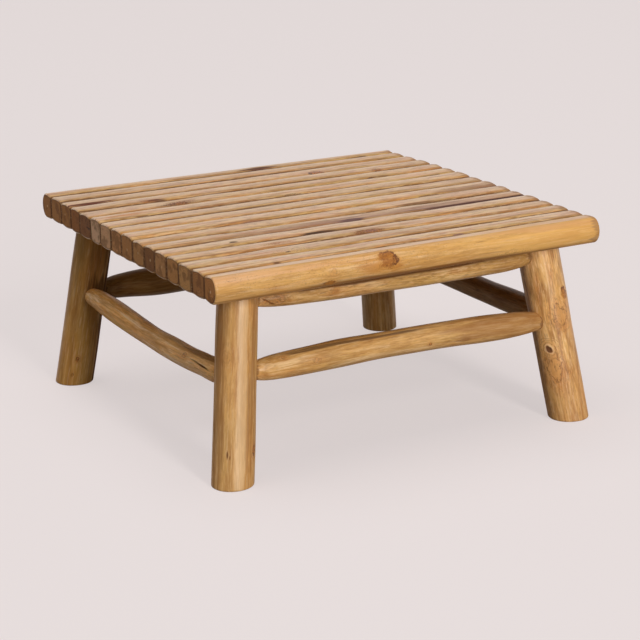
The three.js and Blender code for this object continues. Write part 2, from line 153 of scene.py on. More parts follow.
class Stick:
    """A bent pole in a straight frame: along it, and two directions across."""

    def __init__(self, name, origin, along, side, up, stations, shift_side, shift_up, first, second):
        self.name = name
        self.origin, self.along, self.side, self.up = (
            np.array(v, float) for v in (origin, along, side, up))
        self.stations, self.shift_side, self.shift_up = stations, shift_side, shift_up
        self.first, self.second = first, second
        self.marks = {mark: np.zeros_like(first) for mark in ("planed", "groove", "backing")}
        self.knots = []

    def locate(self, world):
        """World millimetres to the stick's own (along, side, up), in metres."""
        away = np.array(world, float) * MM - self.origin
        s = away @ self.along
        side = away @ self.side - np.interp(s, self.stations, self.shift_side)
        up = away @ self.up - np.interp(s, self.stations, self.shift_up)
        return np.array([s, side, up])

    def add_knots(self, knots):
        """Each is a place, its length, width and lift, how dark it is, and its kind."""
        for world, long_mm, wide_mm, lift_mm, dark, kind in knots:
            self.knots.append({
                "at": self.locate(world), "long": long_mm * MM, "wide": wide_mm * MM,
                "lift": lift_mm * MM, "dark": dark, "kind": kind,
            })

    def swell(self, amount):
        """Moves the skin outwards by amount, an array of metres."""
        reach = np.maximum(np.hypot(self.first, self.second), 1e-6)
        self.first = self.first * (1 + amount / reach)
        self.second = self.second * (1 + amount / reach)

    def swell_knots(self):
        s = np.broadcast_to(self.stations[:, None], self.first.shape)
        for knot in self.knots:
            at, first, second = knot["at"]
            across = (self.first - first) ** 2 + (self.second - second) ** 2
            away = np.sqrt(((s - at) / knot["long"]) ** 2 + across / knot["wide"] ** 2)
            shape = np.exp(-(away / KNOT_SPREAD) ** 2)
            if knot["kind"] == HOLE:
                shape = shape - HOLE_DEPTH * np.exp(-(away / HOLE_SPREAD) ** 2)
            self.swell(knot["lift"] * shape)

    def build(self):
        """The stick's object, with rough sawn end faces."""
        count, sides = self.first.shape
        inner = len(CAP_SHARES)
        rows = np.concatenate([np.zeros(inner, int), np.arange(count), np.full(inner, count - 1)])
        share = np.concatenate([CAP_SHARES[::-1], np.ones(count), CAP_SHARES])[:, None]
        cap = np.ones(len(rows))
        cap[inner:-inner] = 0
        cap[[inner, -inner - 1]] = ARRIS_CAP
        s = np.repeat(self.stations[rows][:, None], sides, 1)
        first, second = self.first[rows] * share, self.second[rows] * share
        rough = relief(first, second, second * 0 + 1.0, SAW_SEED, SAW_WAVE, SAW_WAVE) * SAW_DEPTH
        s[:inner] += rough[:inner]
        s[-inner:] += rough[-inner:]
        centres = [[self.stations[0], 0, 0], [self.stations[-1], 0, 0]]
        grain = np.concatenate([np.stack([s, first, second], -1).reshape(-1, 3), centres])
        bend = np.stack([self.shift_side, self.shift_up], -1)
        shift = np.concatenate([np.repeat(bend[rows], sides, 0), bend[[0, -1]]])
        world = (
            self.origin
            + grain[:, :1] * self.along
            + (grain[:, 1:2] + shift[:, :1]) * self.side
            + (grain[:, 2:3] + shift[:, 1:2]) * self.up
        )
        ring, side = np.meshgrid(np.arange(len(rows) - 1), np.arange(sides), indexing="ij")
        here = ring * sides + side
        beside = ring * sides + (side + 1) % sides
        quads = np.stack([here, beside, beside + sides, here + sides], -1).reshape(-1, 4)
        first_centre = len(rows) * sides
        last_ring = first_centre - sides
        order = np.arange(sides)
        following = (order + 1) % sides
        start_fan = np.stack([np.full(sides, first_centre), following, order], -1)
        end_fan = np.stack(
            [np.full(sides, first_centre + 1), last_ring + order, last_ring + following], -1)
        faces = [row for table in (quads, start_fan, end_fan) for row in table.tolist()]
        mesh = make_mesh(self.name, world, faces)
        put_attribute(mesh, "grain", grain, "FLOAT_VECTOR")
        put_attribute(mesh, "cap", [*np.repeat(cap, sides), 1, 1])
        for mark, values in self.marks.items():
            put_attribute(mesh, mark, [*values[rows].ravel(), 0, 0])
        return put_in_scene(self.name, mesh)


def make_mesh(name, points, faces):
    mesh = bpy.data.meshes.new(name)
    mesh.from_pydata(points.tolist(), [], faces, shade_flat=False)
    mesh.validate()
    return mesh


def put_attribute(mesh, name, values, kind="FLOAT"):
    attribute = mesh.attributes.new(name, kind, "POINT")
    field = "vector" if kind == "FLOAT_VECTOR" else "value"
    attribute.data.foreach_set(field, np.asarray(values, np.float32).ravel())


# Colours, given as 0 to 255 and kept as linear light
def rgb(red, green, blue):
    def one(value):
        value /= 255
        return value / 12.92 if value <= 0.04045 else ((value + 0.055) / 1.055) ** 2.4
    return one(red), one(green), one(blue), 1.0


GOLD, HONEY = rgb(210, 156, 88), rgb(222, 174, 108)
OLIVE, AMBER = rgb(184, 144, 84), rgb(196, 122, 58)
CREAM, ROSE, ASH = rgb(240, 204, 156), rgb(224, 178, 148), rgb(186, 154, 128)
BARK, UMBER, SOOT = rgb(150, 98, 48), rgb(98, 60, 30), rgb(38, 20, 12)
PLUM, RUST = rgb(128, 92, 82), rgb(146, 84, 46)
FLANK, FLANK_TWO = rgb(208, 146, 82), rgb(198, 154, 88)
BLEACHED_AND_SHEEN, WORN_LINE_AND_GLINT = rgb(244, 206, 172), rgb(250, 222, 190)
KNOT_GOLD, KNOT_BROWN = rgb(160, 96, 28), rgb(90, 42, 8)
KNOT_HALO, KNOT_TAN, PATCH_TAN = rgb(204, 142, 64), rgb(196, 138, 66), rgb(196, 140, 78)
SAWN, SAWN_BLOT = rgb(178, 132, 90), rgb(124, 80, 44)


class Graph:
    """A tree of shader nodes. A value may be a number, a tuple or another node's output."""

    def __init__(self, owner):
        owner.use_nodes = True
        self.tree = owner.node_tree
        self.tree.nodes.clear()

    def node(self, kind, inputs=(), **settings):
        node = self.tree.nodes.new(kind)
        for key, value in settings.items():
            setattr(node, key, value)
        for key, value in dict(inputs).items():
            self.feed(node.inputs[key], value)
        return node

    def feed(self, socket, value):
        if isinstance(value, bpy.types.NodeSocket):
            self.tree.links.new(value, socket)
        else:
            socket.default_value = value

    def finish(self, inputs):
        shader = self.node("ShaderNodeBsdfPrincipled", inputs)
        self.node("ShaderNodeOutputMaterial", {"Surface": shader.outputs[0]})

    def math(self, operation, *values):
        return self.node("ShaderNodeMath", enumerate(values), operation=operation).outputs[0]

    def plus(self, first, second):
        return self.math("ADD", first, second)

    def less(self, first, second):
        return self.math("SUBTRACT", first, second)

    def times(self, first, second):
        return self.math("MULTIPLY", first, second)

    def centred(self, noise, reach, middle=0.0):
        """Noise from 0 to 1 stretched to reach, about a middle."""
        return self.math("MULTIPLY_ADD", noise, reach, -reach / 2 + middle)

    def vector(self, operation, *values):
        node = self.node("ShaderNodeVectorMath", enumerate(values), operation=operation)
        return node.outputs["Value" if operation in ("LENGTH", "DOT_PRODUCT") else "Vector"]

    def sizes_away(self, off, long, wide):
        """The length of off, in units of long along the grain and wide across it."""
        return self.vector("LENGTH", self.vector("MULTIPLY", off, (1 / long, 1 / wide, 1 / wide)))

    def scaled(self, vector, factor):
        inputs = {0: vector, "Scale": factor}
        return self.node("ShaderNodeVectorMath", inputs, operation="SCALE").outputs[0]

    def attribute(self, name, output="Fac"):
        return self.node("ShaderNodeAttribute", attribute_name=name).outputs[output]

    def noise(self, vector, stretch, detail, roughness):
        node = self.node("ShaderNodeTexNoise", {
            "Vector": self.vector("MULTIPLY", vector, stretch),
            "Scale": 1.0, "Detail": detail, "Roughness": roughness,
        })
        return node.outputs["Fac"]

    def span(self, value, low, high, to_low=0.0, to_high=1.0):
        """A smooth step from low to high, which may be the smaller one."""
        ends = {"From Min": low, "From Max": high, "To Min": to_low, "To Max": to_high}
        node = self.node("ShaderNodeMapRange", {"Value": value} | ends, interpolation_type="SMOOTHSTEP")
        return node.outputs["Result"]

    def ridge(self, value, middle, wide, sharp):
        """A line where value passes middle."""
        return self.span(self.math("ABSOLUTE", self.less(value, middle)), wide, sharp)

    def mix(self, share, first, second, blend="MIX"):
        node = self.node("ShaderNodeMix", {"Factor": share}, data_type="RGBA", blend_type=blend)
        colours = [socket for socket in node.inputs if socket.type == "RGBA"]
        for socket, value in zip(colours, (first, second)):
            self.feed(socket, value)
        return next(socket for socket in node.outputs if socket.type == "RGBA")

    def lay(self, colour, *layers):
        """The colour with others laid over it, each by a share of a mask."""
        for over, mask, share in layers:
            colour = self.mix(self.times(mask, share), colour, over)
        return colour


def new_material(name):
    material = bpy.data.materials.new(name)
    return material, Graph(material)


# How hard a knot pulls the grain round it, and how soon the pull fades
KNOT_PULL, PULL_FADE = 0.65, 0.6
# The contour lines round a hole: how far out, in knot sizes, and how strong
CONTOURS = ((1.8, 0.9), (2.7, 0.6), (3.5, 0.6))


def knot_distances(g, stick, grain):
    """How far each point is from each knot, in knot sizes, and the grain bent round them."""
    moved = grain
    for knot in stick.knots:
        off = g.vector("SUBTRACT", grain, tuple(map(float, knot["at"])))
        away = g.sizes_away(off, knot["long"], knot["wide"])
        fading = g.math("MULTIPLY_ADD", g.times(away, away), PULL_FADE, 1.0)
        pull = g.math("DIVIDE", KNOT_PULL, g.math("POWER", fading, 1.5))
        moved = g.vector("SUBTRACT", moved, g.scaled(g.vector("MULTIPLY", off, (0.0, 1.0, 1.0)), pull))
        knot["away"], knot["off"] = away, off
    return moved


def draw_crumbled_knot(g, knot, away, crumble, colour):
    dark = knot["dark"]
    rough = g.plus(away, g.centred(crumble, 1.5))
    tint = g.mix(g.span(crumble, 0.54, 0.66, 0.0, 0.7), KNOT_GOLD, KNOT_BROWN)
    tint = g.mix(g.span(crumble, 0.46, 0.34, 0.0, 0.6), tint, KNOT_TAN)
    # The rim is darkest above and to the right
    lean = g.vector("DOT_PRODUCT", knot["off"], (0.7 / knot["long"], 0.0, 0.7 / knot["wide"]))
    rim = g.times(g.ridge(rough, 0.95, 0.3, 0.05), g.span(lean, -0.5, 0.35, 0.12, 1.0))
    return g.lay(
        colour,
        (KNOT_HALO, g.span(away, 2.0, 0.9), 0.55),
        (tint, g.span(rough, 1.1, 0.8), 0.92 * dark),
        (KNOT_BROWN, rim, 0.9 * dark))


def draw_hole(g, away, crumble, tail, dark, colour):
    rings = (
        (BARK, g.ridge(away, reach, 0.2, 0.03), g.span(crumble, 0.42, 0.54, 0.0, strength))
        for reach, strength in CONTOURS)
    return g.lay(
        colour,
        (HONEY, g.span(away, 3.4, 1.6), 0.4),
        (UMBER, tail, 0.4 * dark),
        (CREAM, g.span(away, 1.6, 1.2), 0.45),
        *rings,
        (KNOT_BROWN, g.span(away, 1.0, 0.8), 0.85))


def draw_knots(g, stick, grain, colour, height):
    """The colour and the height of the skin, with the stick's knots in them."""
    if not stick.knots:
        return colour, height
    crumble = g.noise(grain, (260.0, 260.0, 260.0), 3.0, 0.65)
    wobble = g.noise(grain, (75.0, 75.0, 75.0), 2.0, 0.5)
    fray = g.noise(grain, (70.0, 430.0, 430.0), 2.0, 0.6)
    for knot in stick.knots:
        dark = knot["dark"]
        away = g.plus(knot["away"], g.centred(wobble, 1.9))
        if knot["kind"] == CRUMBLED:
            colour = draw_crumbled_knot(g, knot, away, crumble, colour)
            continue
        rough = g.plus(away, g.centred(crumble, 1.1))
        near = g.span(away, 3.0, 0.8)
        ripples = g.span(g.math("SINE", g.times(rough, 8.5)), 0.3, 0.95)
        colour = g.lay(colour, (AMBER, near, 0.3 * dark), (UMBER, ripples, g.times(near, 0.28 * dark)))
        tail = g.times(g.span(away, 2.6, 1.1), g.span(fray, 0.54, 0.66))
        if knot["kind"] == HOLE:
            hole = g.span(away, 0.78, 0.62)
            colour = g.mix(hole, draw_hole(g, away, crumble, tail, dark, colour), SOOT)
            height = g.less(height, g.times(hole, 3.0))
            continue
        if knot["kind"] == PATCH:
            ring = g.times(g.ridge(away, 0.98, 0.16, 0.02), g.span(crumble, 0.44, 0.58))
            layers = ((PATCH_TAN, g.span(away, 1.1, 0.9), 0.6 * dark), (KNOT_BROWN, ring, 0.6 * dark))
        else:
            tint = g.mix(g.span(crumble, 0.4, 0.62), AMBER, UMBER)
            ring = g.times(g.ridge(rough, 0.95, 0.3, 0.05), g.span(wobble, 0.34, 0.56))
            layers = ((tint, g.span(rough, 1.1, 0.8), 0.9 * dark), (SOOT, ring, 0.85 * dark ** 1.5))
        colour = g.lay(colour, *layers, (UMBER, tail, 0.6 * dark))
    return colour, height


# Marks laid on the wood: its own blots and dirt, and also painted shade and painted
# highlights. A mark's place is a point in world millimetres, or metres along the stick for one
# that goes all round. deep is the share of its colour, fray how ragged its edge is,
# slant how it rises along the grain, and glossy says that it keeps its gloss.
# grit breaks it up: from and to which noise, and what is left between
StainAndShading = namedtuple(
    "StainAndShading", "place long wide deep colour fray grit slant glossy", defaults=(3.0, None, 0.0, False))
SPECKLED, DOTTED = (0.42, 0.56, 0.25), (0.57, 0.66, 0.0)


def draw_stains_and_shading(g, stick, grain, streak, colour, stains_and_shading):
    """The colour with its laid-on marks and painted shading, and how matt they make it."""
    dull = 0.0
    crumbs = g.noise(grain, (300.0, 520.0, 520.0), 2.0, 0.6)
    for stain_or_shading in stains_and_shading:
        place = (stain_or_shading.place, 0, 0) if isinstance(stain_or_shading.place, float) else stick.locate(stain_or_shading.place)
        off = g.vector("SUBTRACT", grain, tuple(map(float, place)))
        if stain_or_shading.slant:
            rise = g.vector("DOT_PRODUCT", off, (stain_or_shading.slant, 0.0, 0.0))
            off = g.vector("SUBTRACT", off, g.node("ShaderNodeCombineXYZ", {2: rise}).outputs[0])
        away = g.sizes_away(off, stain_or_shading.long * MM, stain_or_shading.wide * MM)
        ragged = g.plus(away, g.centred(streak, stain_or_shading.fray))
        mask = g.times(g.span(ragged, 1.15, 0.5), stain_or_shading.deep)
        if stain_or_shading.grit:
            low, high, least = stain_or_shading.grit
            mask = g.times(mask, g.span(crumbs, low, high, least, 1.0))
        colour = g.mix(mask, colour, stain_or_shading.colour)
        if not stain_or_shading.glossy:
            dull = g.math("MAXIMUM", dull, mask)
    return colour, dull


# The noise fields of the wood: where each is read, its waves to the metre along and
# across the grain, its detail and its roughness
FIELDS = {
    "bend": ((0, 0, 0), 5.0, 26.0, 2.0, 0.5),
    "bend_two": ((3.1, 0.7, 0.3), 4.0, 20.0, 2.0, 0.5),
    "fibre": ((0, 0, 0), 24.0, 360.0, 3.0, 0.62),
    "mottle": ((6.1, 2.7, 4.3), 17.0, 80.0, 2.0, 0.55),
    "fleck": ((8.3, 4.1, 1.6), 60.0, 280.0, 2.0, 0.55),
    "streak": ((1.7, 0.2, 0.9), 6.5, 130.0, 3.0, 0.6),
    "band": ((4.4, 3.2, 1.9), 4.5, 62.0, 2.0, 0.55),
    "patch": ((7.7, 1.2, 0.4), 7.0, 30.0, 3.0, 0.6),
    "drift": ((2.9, 5.2, 3.4), 3.2, 12.0, 2.0, 0.5),
    "dash": ((5.5, 0.8, 2.2), 48.0, 560.0, 2.0, 0.5),
    "blot": ((0, 0, 0), 30.0, 44.0, 2.0, 0.6),
}
SEED_STEPS = (0.731, 0.113, 0.057)

# Layers of colour: what is laid over, by which field, from and to which value of
# it, and by what share, or by which share of the piece's look
GROUND = (
    (OLIVE, "patch", 0.5, 0.66, "olive"),
    (AMBER, "patch", 0.46, 0.32, "amber"),
)
GROWTH = (
    (BARK, "band", 0.52, 0.68, "bands"),
    (BARK, "streak", 0.53, 0.7, "streaks"),
    (CREAM, "streak", 0.47, 0.34, "lights"),
    (BARK, "mottle", 0.52, 0.62, "mottle"),
    (HONEY, "mottle", 0.47, 0.38, "mottle"),
)
SANDED_AND_SHEEN = (
    (ASH, "drift", 0.52, 0.62, 0.5),
    (ASH, "streak", 0.54, 0.64, 0.6),
    (HONEY, "streak", 0.45, 0.36, 0.5),
    (AMBER, "band", 0.55, 0.64, 0.7),
    (OLIVE, "band", 0.44, 0.34, 0.45),
)
OILED = (
    (BARK, "streak", 0.48, 0.6, 0.8),
    (CREAM, "mottle", 0.47, 0.36, 0.4),
)
FINEST = (
    (BARK, "fibre", 0.5, 0.66, "fibres"),
    (CREAM, "fibre", 0.47, 0.34, 0.3),
    (UMBER, "fleck", 0.55, 0.68, "flecks"),
    (CREAM, "fleck", 0.43, 0.32, "flecks"),
)

# What a piece's look may set. Lengths: pith is the place of the pith, swing how far
# the rings bend, ring the width of one. The rest are colours and shares
PLAIN_LOOK = dict(
    base=GOLD, other=HONEY, olive=0.45, amber=0.35, pith=(0.002, -0.001), swing=0.010,
    ring=0.0042, rings=0.25, bands=0.4, streaks=0.5, lights=0.45, mottle=0.35,
    fibres=0.4, flecks=0.3, crown=0.0, bleached_and_sheen=0.0, pale=0.75, face=SAWN,
    face_rings=0.12, checks=0.6, heart=0.85, tone=1.0, rough=0.26, gloss=0.5,
)
SPECKS, RIM = 0.5, 0.65
MATT, FIBRE_MATT = 0.58, 0.24
BUMP_STRENGTH, BUMP_HEIGHT = 0.5, 0.0005
# How much more a tone tells on green and on blue than on red
GREEN_TONE, BLUE_TONE = 1.15, 1.4


def lay_all(g, fields, look, layers, colour):
    return g.lay(colour, *(
        (over, g.span(fields[field], low, high), look[share] if isinstance(share, str) else share)
        for over, field, low, high, share in layers))


def draw_crown(g, fields, look, groove, colour):
    """The crown of a planed pole is paler, from sanding and partly from a painted sheen; its shoulders
    keep their oil.
    """
    band, patch, mottle, drift = (fields[field] for field in ("band", "patch", "mottle", "drift"))
    edge = g.plus(g.attribute("planed"), g.centred(band, 1.4))
    # The crown's pale rose and cream, and its extra paleness, are sanded wood and partly a painted
    # sheen.
    sanded_and_sheen = g.mix(g.span(mottle, 0.45, 0.55), ROSE, CREAM)
    sanded_and_sheen = lay_all(g, fields, look, SANDED_AND_SHEEN, sanded_and_sheen)
    sanded_and_sheen = g.mix(look["bleached_and_sheen"], sanded_and_sheen, BLEACHED_AND_SHEEN)
    flank = g.mix(g.span(patch, 0.42, 0.56), FLANK, FLANK_TWO)
    flank = lay_all(g, fields, look, OILED, flank)
    oiled = g.span(g.plus(groove, g.centred(patch, 1.2)), 0.1, 0.65)
    # Dirt and painted shade: a dark line deep in each groove between the poles.
    silt_and_shade = g.span(g.plus(groove, g.centred(drift, 0.6)), 0.8, 0.95)
    silt_spots = g.times(g.span(mottle, 0.57, 0.66), g.span(groove, 0.55, 0.85))
    # Wear, and partly a painted highlight: a pale line along the back edge of each crown.
    worn_line_and_glint = g.times(g.span(g.attribute("backing"), 0.15, 0.85), g.span(fields["streak"], 0.66, 0.46))
    return g.lay(
        colour,
        (sanded_and_sheen, g.span(edge, 0.3, 0.75), look["crown"]),
        (flank, oiled, 0.85),
        (UMBER, silt_and_shade, 0.9),
        (UMBER, silt_spots, g.span(patch, 0.5, 0.6)),
        (WORN_LINE_AND_GLINT, worn_line_and_glint, look["pale"]))


def wood(name, stick, seed, look, stains_and_shading):
    """Teak in the stick's own grain. look holds what differs from piece to piece."""
    look = PLAIN_LOOK | look
    material, g = new_material(name)
    grain = g.attribute("grain", "Vector")
    moved = knot_distances(g, stick, grain)
    at = g.vector("ADD", moved, tuple(seed * step for step in SEED_STEPS))
    fields = {
        field: g.noise(g.vector("ADD", at, shift), (along, across, across), detail, roughness)
        for field, (shift, along, across, detail, roughness) in FIELDS.items()
    }
    fibre, streak, patch = fields["fibre"], fields["streak"], fields["patch"]

    # Growth rings round the pith, bent by slow noise
    split = g.node("ShaderNodeSeparateXYZ", {0: moved})
    first, second = (
        g.plus(g.centred(fields[bend], look["swing"], -pith), split.outputs[axis])
        for bend, pith, axis in zip(("bend", "bend_two"), look["pith"], (1, 2)))
    reach = g.math("SQRT", g.plus(g.times(first, first), g.times(second, second)))
    turns = g.math("SINE", g.times(reach, 2 * math.pi / look["ring"]))
    rings = g.math("POWER", g.math("MULTIPLY_ADD", turns, 0.5, 0.5), 2.2)

    colour = g.mix(g.span(fields["drift"], 0.38, 0.62), look["base"], look["other"])
    colour = lay_all(g, fields, look, GROUND, colour)
    colour = g.lay(colour, (BARK, rings, look["rings"]))
    colour = lay_all(g, fields, look, GROWTH, colour)
    groove = g.attribute("groove")
    if look["crown"]:
        colour = draw_crown(g, fields, look, groove, colour)
    colour = lay_all(g, fields, look, FINEST, colour)
    specks = g.times(g.span(fields["dash"], 0.66, 0.78), SPECKS)
    colour = g.mix(specks, colour, UMBER)
    colour, dull = draw_stains_and_shading(g, stick, grain, streak, colour, stains_and_shading)
    height = g.math("MULTIPLY_ADD", fibre, 0.6, g.times(streak, 0.9))
    height = g.less(height, g.times(specks, 0.8))
    colour, height = draw_knots(g, stick, grain, colour, height)

    # Sawn end faces: browner, with the rings, the heart and drying checks plain to see
    end = g.attribute("cap")
    cap = g.span(end, 0.35, 0.8)
    saw = g.noise(at, (300.0, 330.0, 1100.0), 2.0, 0.6)
    some_way = g.plus(reach, 0.0004)
    direction = g.node("ShaderNodeCombineXYZ", {
        0: seed * 1.37, 1: g.math("DIVIDE", first, some_way), 2: g.math("DIVIDE", second, some_way)})
    rays = g.noise(direction.outputs[0], (1.0, 2.6, 2.6), 2.0, 0.5)
    crack = g.times(g.ridge(rays, 0.5, 0.016, 0.005), g.span(reach, 0.003, 0.007))
    crack = g.times(crack, g.span(patch, 0.45, 0.55))
    face = g.lay(
        look["face"],
        (SAWN_BLOT, g.span(fields["blot"], 0.48, 0.62), 0.6),
        (UMBER, rings, look["face_rings"]),
        (UMBER, g.span(saw, 0.5, 0.68), 0.18),
        (SOOT, crack, look["checks"]),
        (CREAM, g.span(reach, 0.003, 0.0016), max(0.0, look["heart"])),
        (UMBER, g.span(end, 1.0, 0.86), 0.35))
    height = g.less(height, g.times(g.times(crack, cap), 2.5))
    colour = g.lay(g.mix(cap, colour, face), (UMBER, g.ridge(end, 0.5, 0.42, 0.1), RIM))

    tone = look["tone"]
    dull = g.math("MAXIMUM", g.math("MAXIMUM", cap, dull), g.span(groove, 0.3, 1.0))
    rough = g.math("MULTIPLY_ADD", fibre, FIBRE_MATT, look["rough"])
    bump = g.node("ShaderNodeBump", {
        "Strength": BUMP_STRENGTH, "Distance": BUMP_HEIGHT, "Height": height})
    g.finish({
        "Base Color": g.mix(1.0, colour, (tone, tone ** GREEN_TONE, tone ** BLUE_TONE, 1.0), "MULTIPLY"),
        "Roughness": g.math("MULTIPLY_ADD", dull, MATT, rough),
        "Specular IOR Level": look["gloss"],
        "Normal": bump.outputs[0],
    })
    return material


# The top poles. Places are shares of the depth, as in the frame's own model
TOP_LENGTH, TOP_DEPTH, TABLE_HEIGHT, POLE_THICKNESS = 0.8, 0.8, 0.392, 0.05
UNDERSIDE = TABLE_HEIGHT - POLE_THICKNESS
JOINT_GAP = 0.0004
LEFT_EDGES = [
    0.493, 0.434, 0.369, 0.306, 0.249, 0.183, 0.122, 0.06, 0,
    -0.064, -0.128, -0.184, -0.247, -0.31, -0.377, -0.44, -0.497,
]
RIGHT_EDGES = [
    0.481, 0.436, 0.378, 0.312, 0.249, 0.189, 0.126, 0.062, 0,
    -0.063, -0.125, -0.189, -0.25, -0.313, -0.372, -0.434, -0.497,
]
CROWNS = [1, 0.85, 1.15, 0.9, 1.2, 1, 0.85, 1.1, 1, 1.3, 1.05, 0.9, 1.1, 0.85, 1, 1]
LEFT_DIPS = [0, 0.1, 0.2, 0.1, 0.3, 0, 0.2, 0.1, 0, 0.3, 0.1, 0.2, 0, 0.2, 0.1, 0]
RIGHT_DIPS = [1, 0.9, 0.7, 0.4, 0.2, 0.3, 0.1, 0.2, 0, 0.1, 0.3, 0, 0.2, 0, 0.1, 0]
LEFT_SETBACKS = [1, 0.95, 0.8, 0.7, 0.5, 0.5, 0.3, 0.35, 0.2, 0.1, 0.25, 0.1, 0.2, 0, 0.15, 0]
RIGHT_SETBACKS = [1, 1, 0.8, 0.6, 0.5, 0.3, 0.35, 0.2, 0.3, 0.1, 0.2, 0, 0.1, 0, 0.1, 0]
POLE_COUNT = len(LEFT_EDGES) - 1
POLE_DIP, POLE_SETBACK = 0.005, 0.005
SANDED_OFF = 0.0003
CROWN_DROP, SHOULDER_WIDE, SHOULDER_DEEP, ROUND_FROM = 0.0011, 0.0112, 0.0052, 0.0045
ROUND_CROWN = 0.2
FLAT_STEPS, SHOULDER_STEPS, ROUND_STEPS, SIDE_STEPS = 9, 11, 17, 6
# How soft the crown's edge is, how far the pale line reaches from it, and how much
# further than the shoulder the oil reaches in front of the crown and behind it
EDGE_SOFT, PALE_REACH, PALE_END = 0.003, 0.019, 0.001
OIL_REACH = {"front": 1.8, "back": 1.1}
# Waves along a pole: their seed, their length and their strength
TOP_WAVE, CROWN_WAVE = (11, 0.13, 0.0006), (12, 0.07, 0.5)
# The same for its shoulders, each of which adds its own seed
WIDE_WAVE, WIDE_RIPPLE, DEEP_WAVE = (0, 0.16, 0.28), (4, 0.045, 0.12), (8, 0.10, 0.22)
POLE_APART = 3.7
STATION_STEP, ARRIS_STEPS = 0.003, 5
POLE_ARRIS, LEG_ARRIS, RAIL_ARRIS = 0.0034, 0.0026, 0.001


def stations_between(start, end, arris):
    """Even places along a stick, closer together in the rounded ends, and how far
    the skin lies inwards at each."""
    quarter = np.linspace(0, 1, ARRIS_STEPS) * math.pi / 2
    near = start + arris * (1 - np.cos(quarter))
    far = end - (near - start)[::-1]
    inner = np.linspace(start + arris, end - arris, int((end - start) / STATION_STEP))[1:-1]
    soft = arris * (1 - np.sin(quarter))
    return np.concatenate([near, inner, far]), np.concatenate([soft, np.zeros(len(inner)), soft[::-1]])


def half_section(half, rise, drop, wide, deep, planed):
    """Half a pole's section, from the middle of its crown round to the middle of
    its underside, as outward and upward distances for each ring."""
    if planed:
        flat, fall, steps = half - wide, deep, SHOULDER_STEPS
    else:
        drop = drop * ROUND_CROWN
        flat, fall, steps = np.full_like(half, ROUND_FROM), rise - drop, ROUND_STEPS
    share = np.linspace(0, 1, FLAT_STEPS)
    turn = np.linspace(0, 1, steps)[1:] * math.pi / 2
    out_flat = flat[:, None] * share
    up_flat = rise[:, None] - drop[:, None] * share ** 2
    out_turn = flat[:, None] + (half - flat)[:, None] * np.sin(turn)
    up_turn = (rise - drop)[:, None] - fall[:, None] * (1 - np.cos(turn))
    # A planed side is straight. A round one has no side, only its widest line
    side = np.linspace(0, 1, SIDE_STEPS)[1:-1] if planed else np.zeros(0)
    out_side = half[:, None] + 0 * side
    up_side = up_turn[:, -1:] * (1 - 2 * side)
    back = slice(None, None, -1) if planed else slice(-2, None, -1)
    return (
        np.concatenate([out_flat, out_turn, out_side, out_turn[:, back], out_flat[:, -2::-1]], 1),
        np.concatenate([up_flat, up_turn, up_side, -up_turn[:, back], -up_flat[:, -2::-1]], 1),
    )


def pole_stick(pole):
    left = -TOP_LENGTH / 2 + POLE_SETBACK * LEFT_SETBACKS[pole]
    right = TOP_LENGTH / 2 - POLE_SETBACK * RIGHT_SETBACKS[pole]
    x, inset = stations_between(left, right, POLE_ARRIS)
    share = x / TOP_LENGTH + 0.5
    zero = np.zeros_like(x)

    def along(first, second):
        return first + (second - first) * share

    def wave(seed, period, strength, own_seed=0):
        points = np.stack([x / period, zero, zero], -1) + pole * POLE_APART
        return strength * lattice(points, seed + own_seed)

    gap = JOINT_GAP / 2
    last = POLE_COUNT - 1
    back = TOP_DEPTH * along(LEFT_EDGES[pole], RIGHT_EDGES[pole]) - (gap if pole else 0)
    front = TOP_DEPTH * along(LEFT_EDGES[pole + 1], RIGHT_EDGES[pole + 1]) + (gap if pole < last else 0)
    dip = POLE_DIP * along(LEFT_DIPS[pole], RIGHT_DIPS[pole])
    top = TABLE_HEIGHT - dip - SANDED_OFF - np.abs(wave(*TOP_WAVE))
    middle, level = (back + front) / 2, (top + UNDERSIDE) / 2
    half, rise = (back - front) / 2 - inset, (top - UNDERSIDE) / 2 - inset
    drop = CROWN_DROP * CROWNS[pole] * (1 + wave(*CROWN_WAVE))
    halves = []
    for end, seed, round_pole in (("front", 13, last), ("back", 14, 0)):
        wide = SHOULDER_WIDE * (1 + wave(*WIDE_WAVE, seed) + wave(*WIDE_RIPPLE, seed))
        deep = SHOULDER_DEEP * (1 + wave(*DEEP_WAVE, seed))
        planed = pole != round_pole
        out, up = half_section(half, rise, drop, wide, deep, planed)
        edge = (half - wide if planed else np.full_like(half, ROUND_FROM))[:, None]
        above = up > 0
        worn = eased(edge + EDGE_SOFT, edge - EDGE_SOFT, out) * above
        slope = (wide * OIL_REACH[end])[:, None]
        sunk = np.clip((out - (half[:, None] - slope)) / slope, 0, 1) * planed
        rear = eased(edge - PALE_REACH, edge - PALE_END, out) * above * (end == "back")
        halves.append((-out if end == "front" else out, up, worn, sunk, rear))
    first, second, worn, sunk, rear = (
        np.concatenate([ahead, behind[:, -2:0:-1]], 1) for ahead, behind in zip(*halves))
    name = f"pole_{pole + 1:02d}"
    stick = Stick(name, (0, 0, 0), (1, 0, 0), (0, 1, 0), (0, 0, 1), x, middle, level, first, second)
    stick.marks = {"planed": worn, "groove": sunk, "backing": rear}
    return stick


HOLE_PLAY, HOLE_SIDES, RIM_ANGLE = 0.00015, 32, math.radians(40)
SHORTEST_EDGE = 0.000002


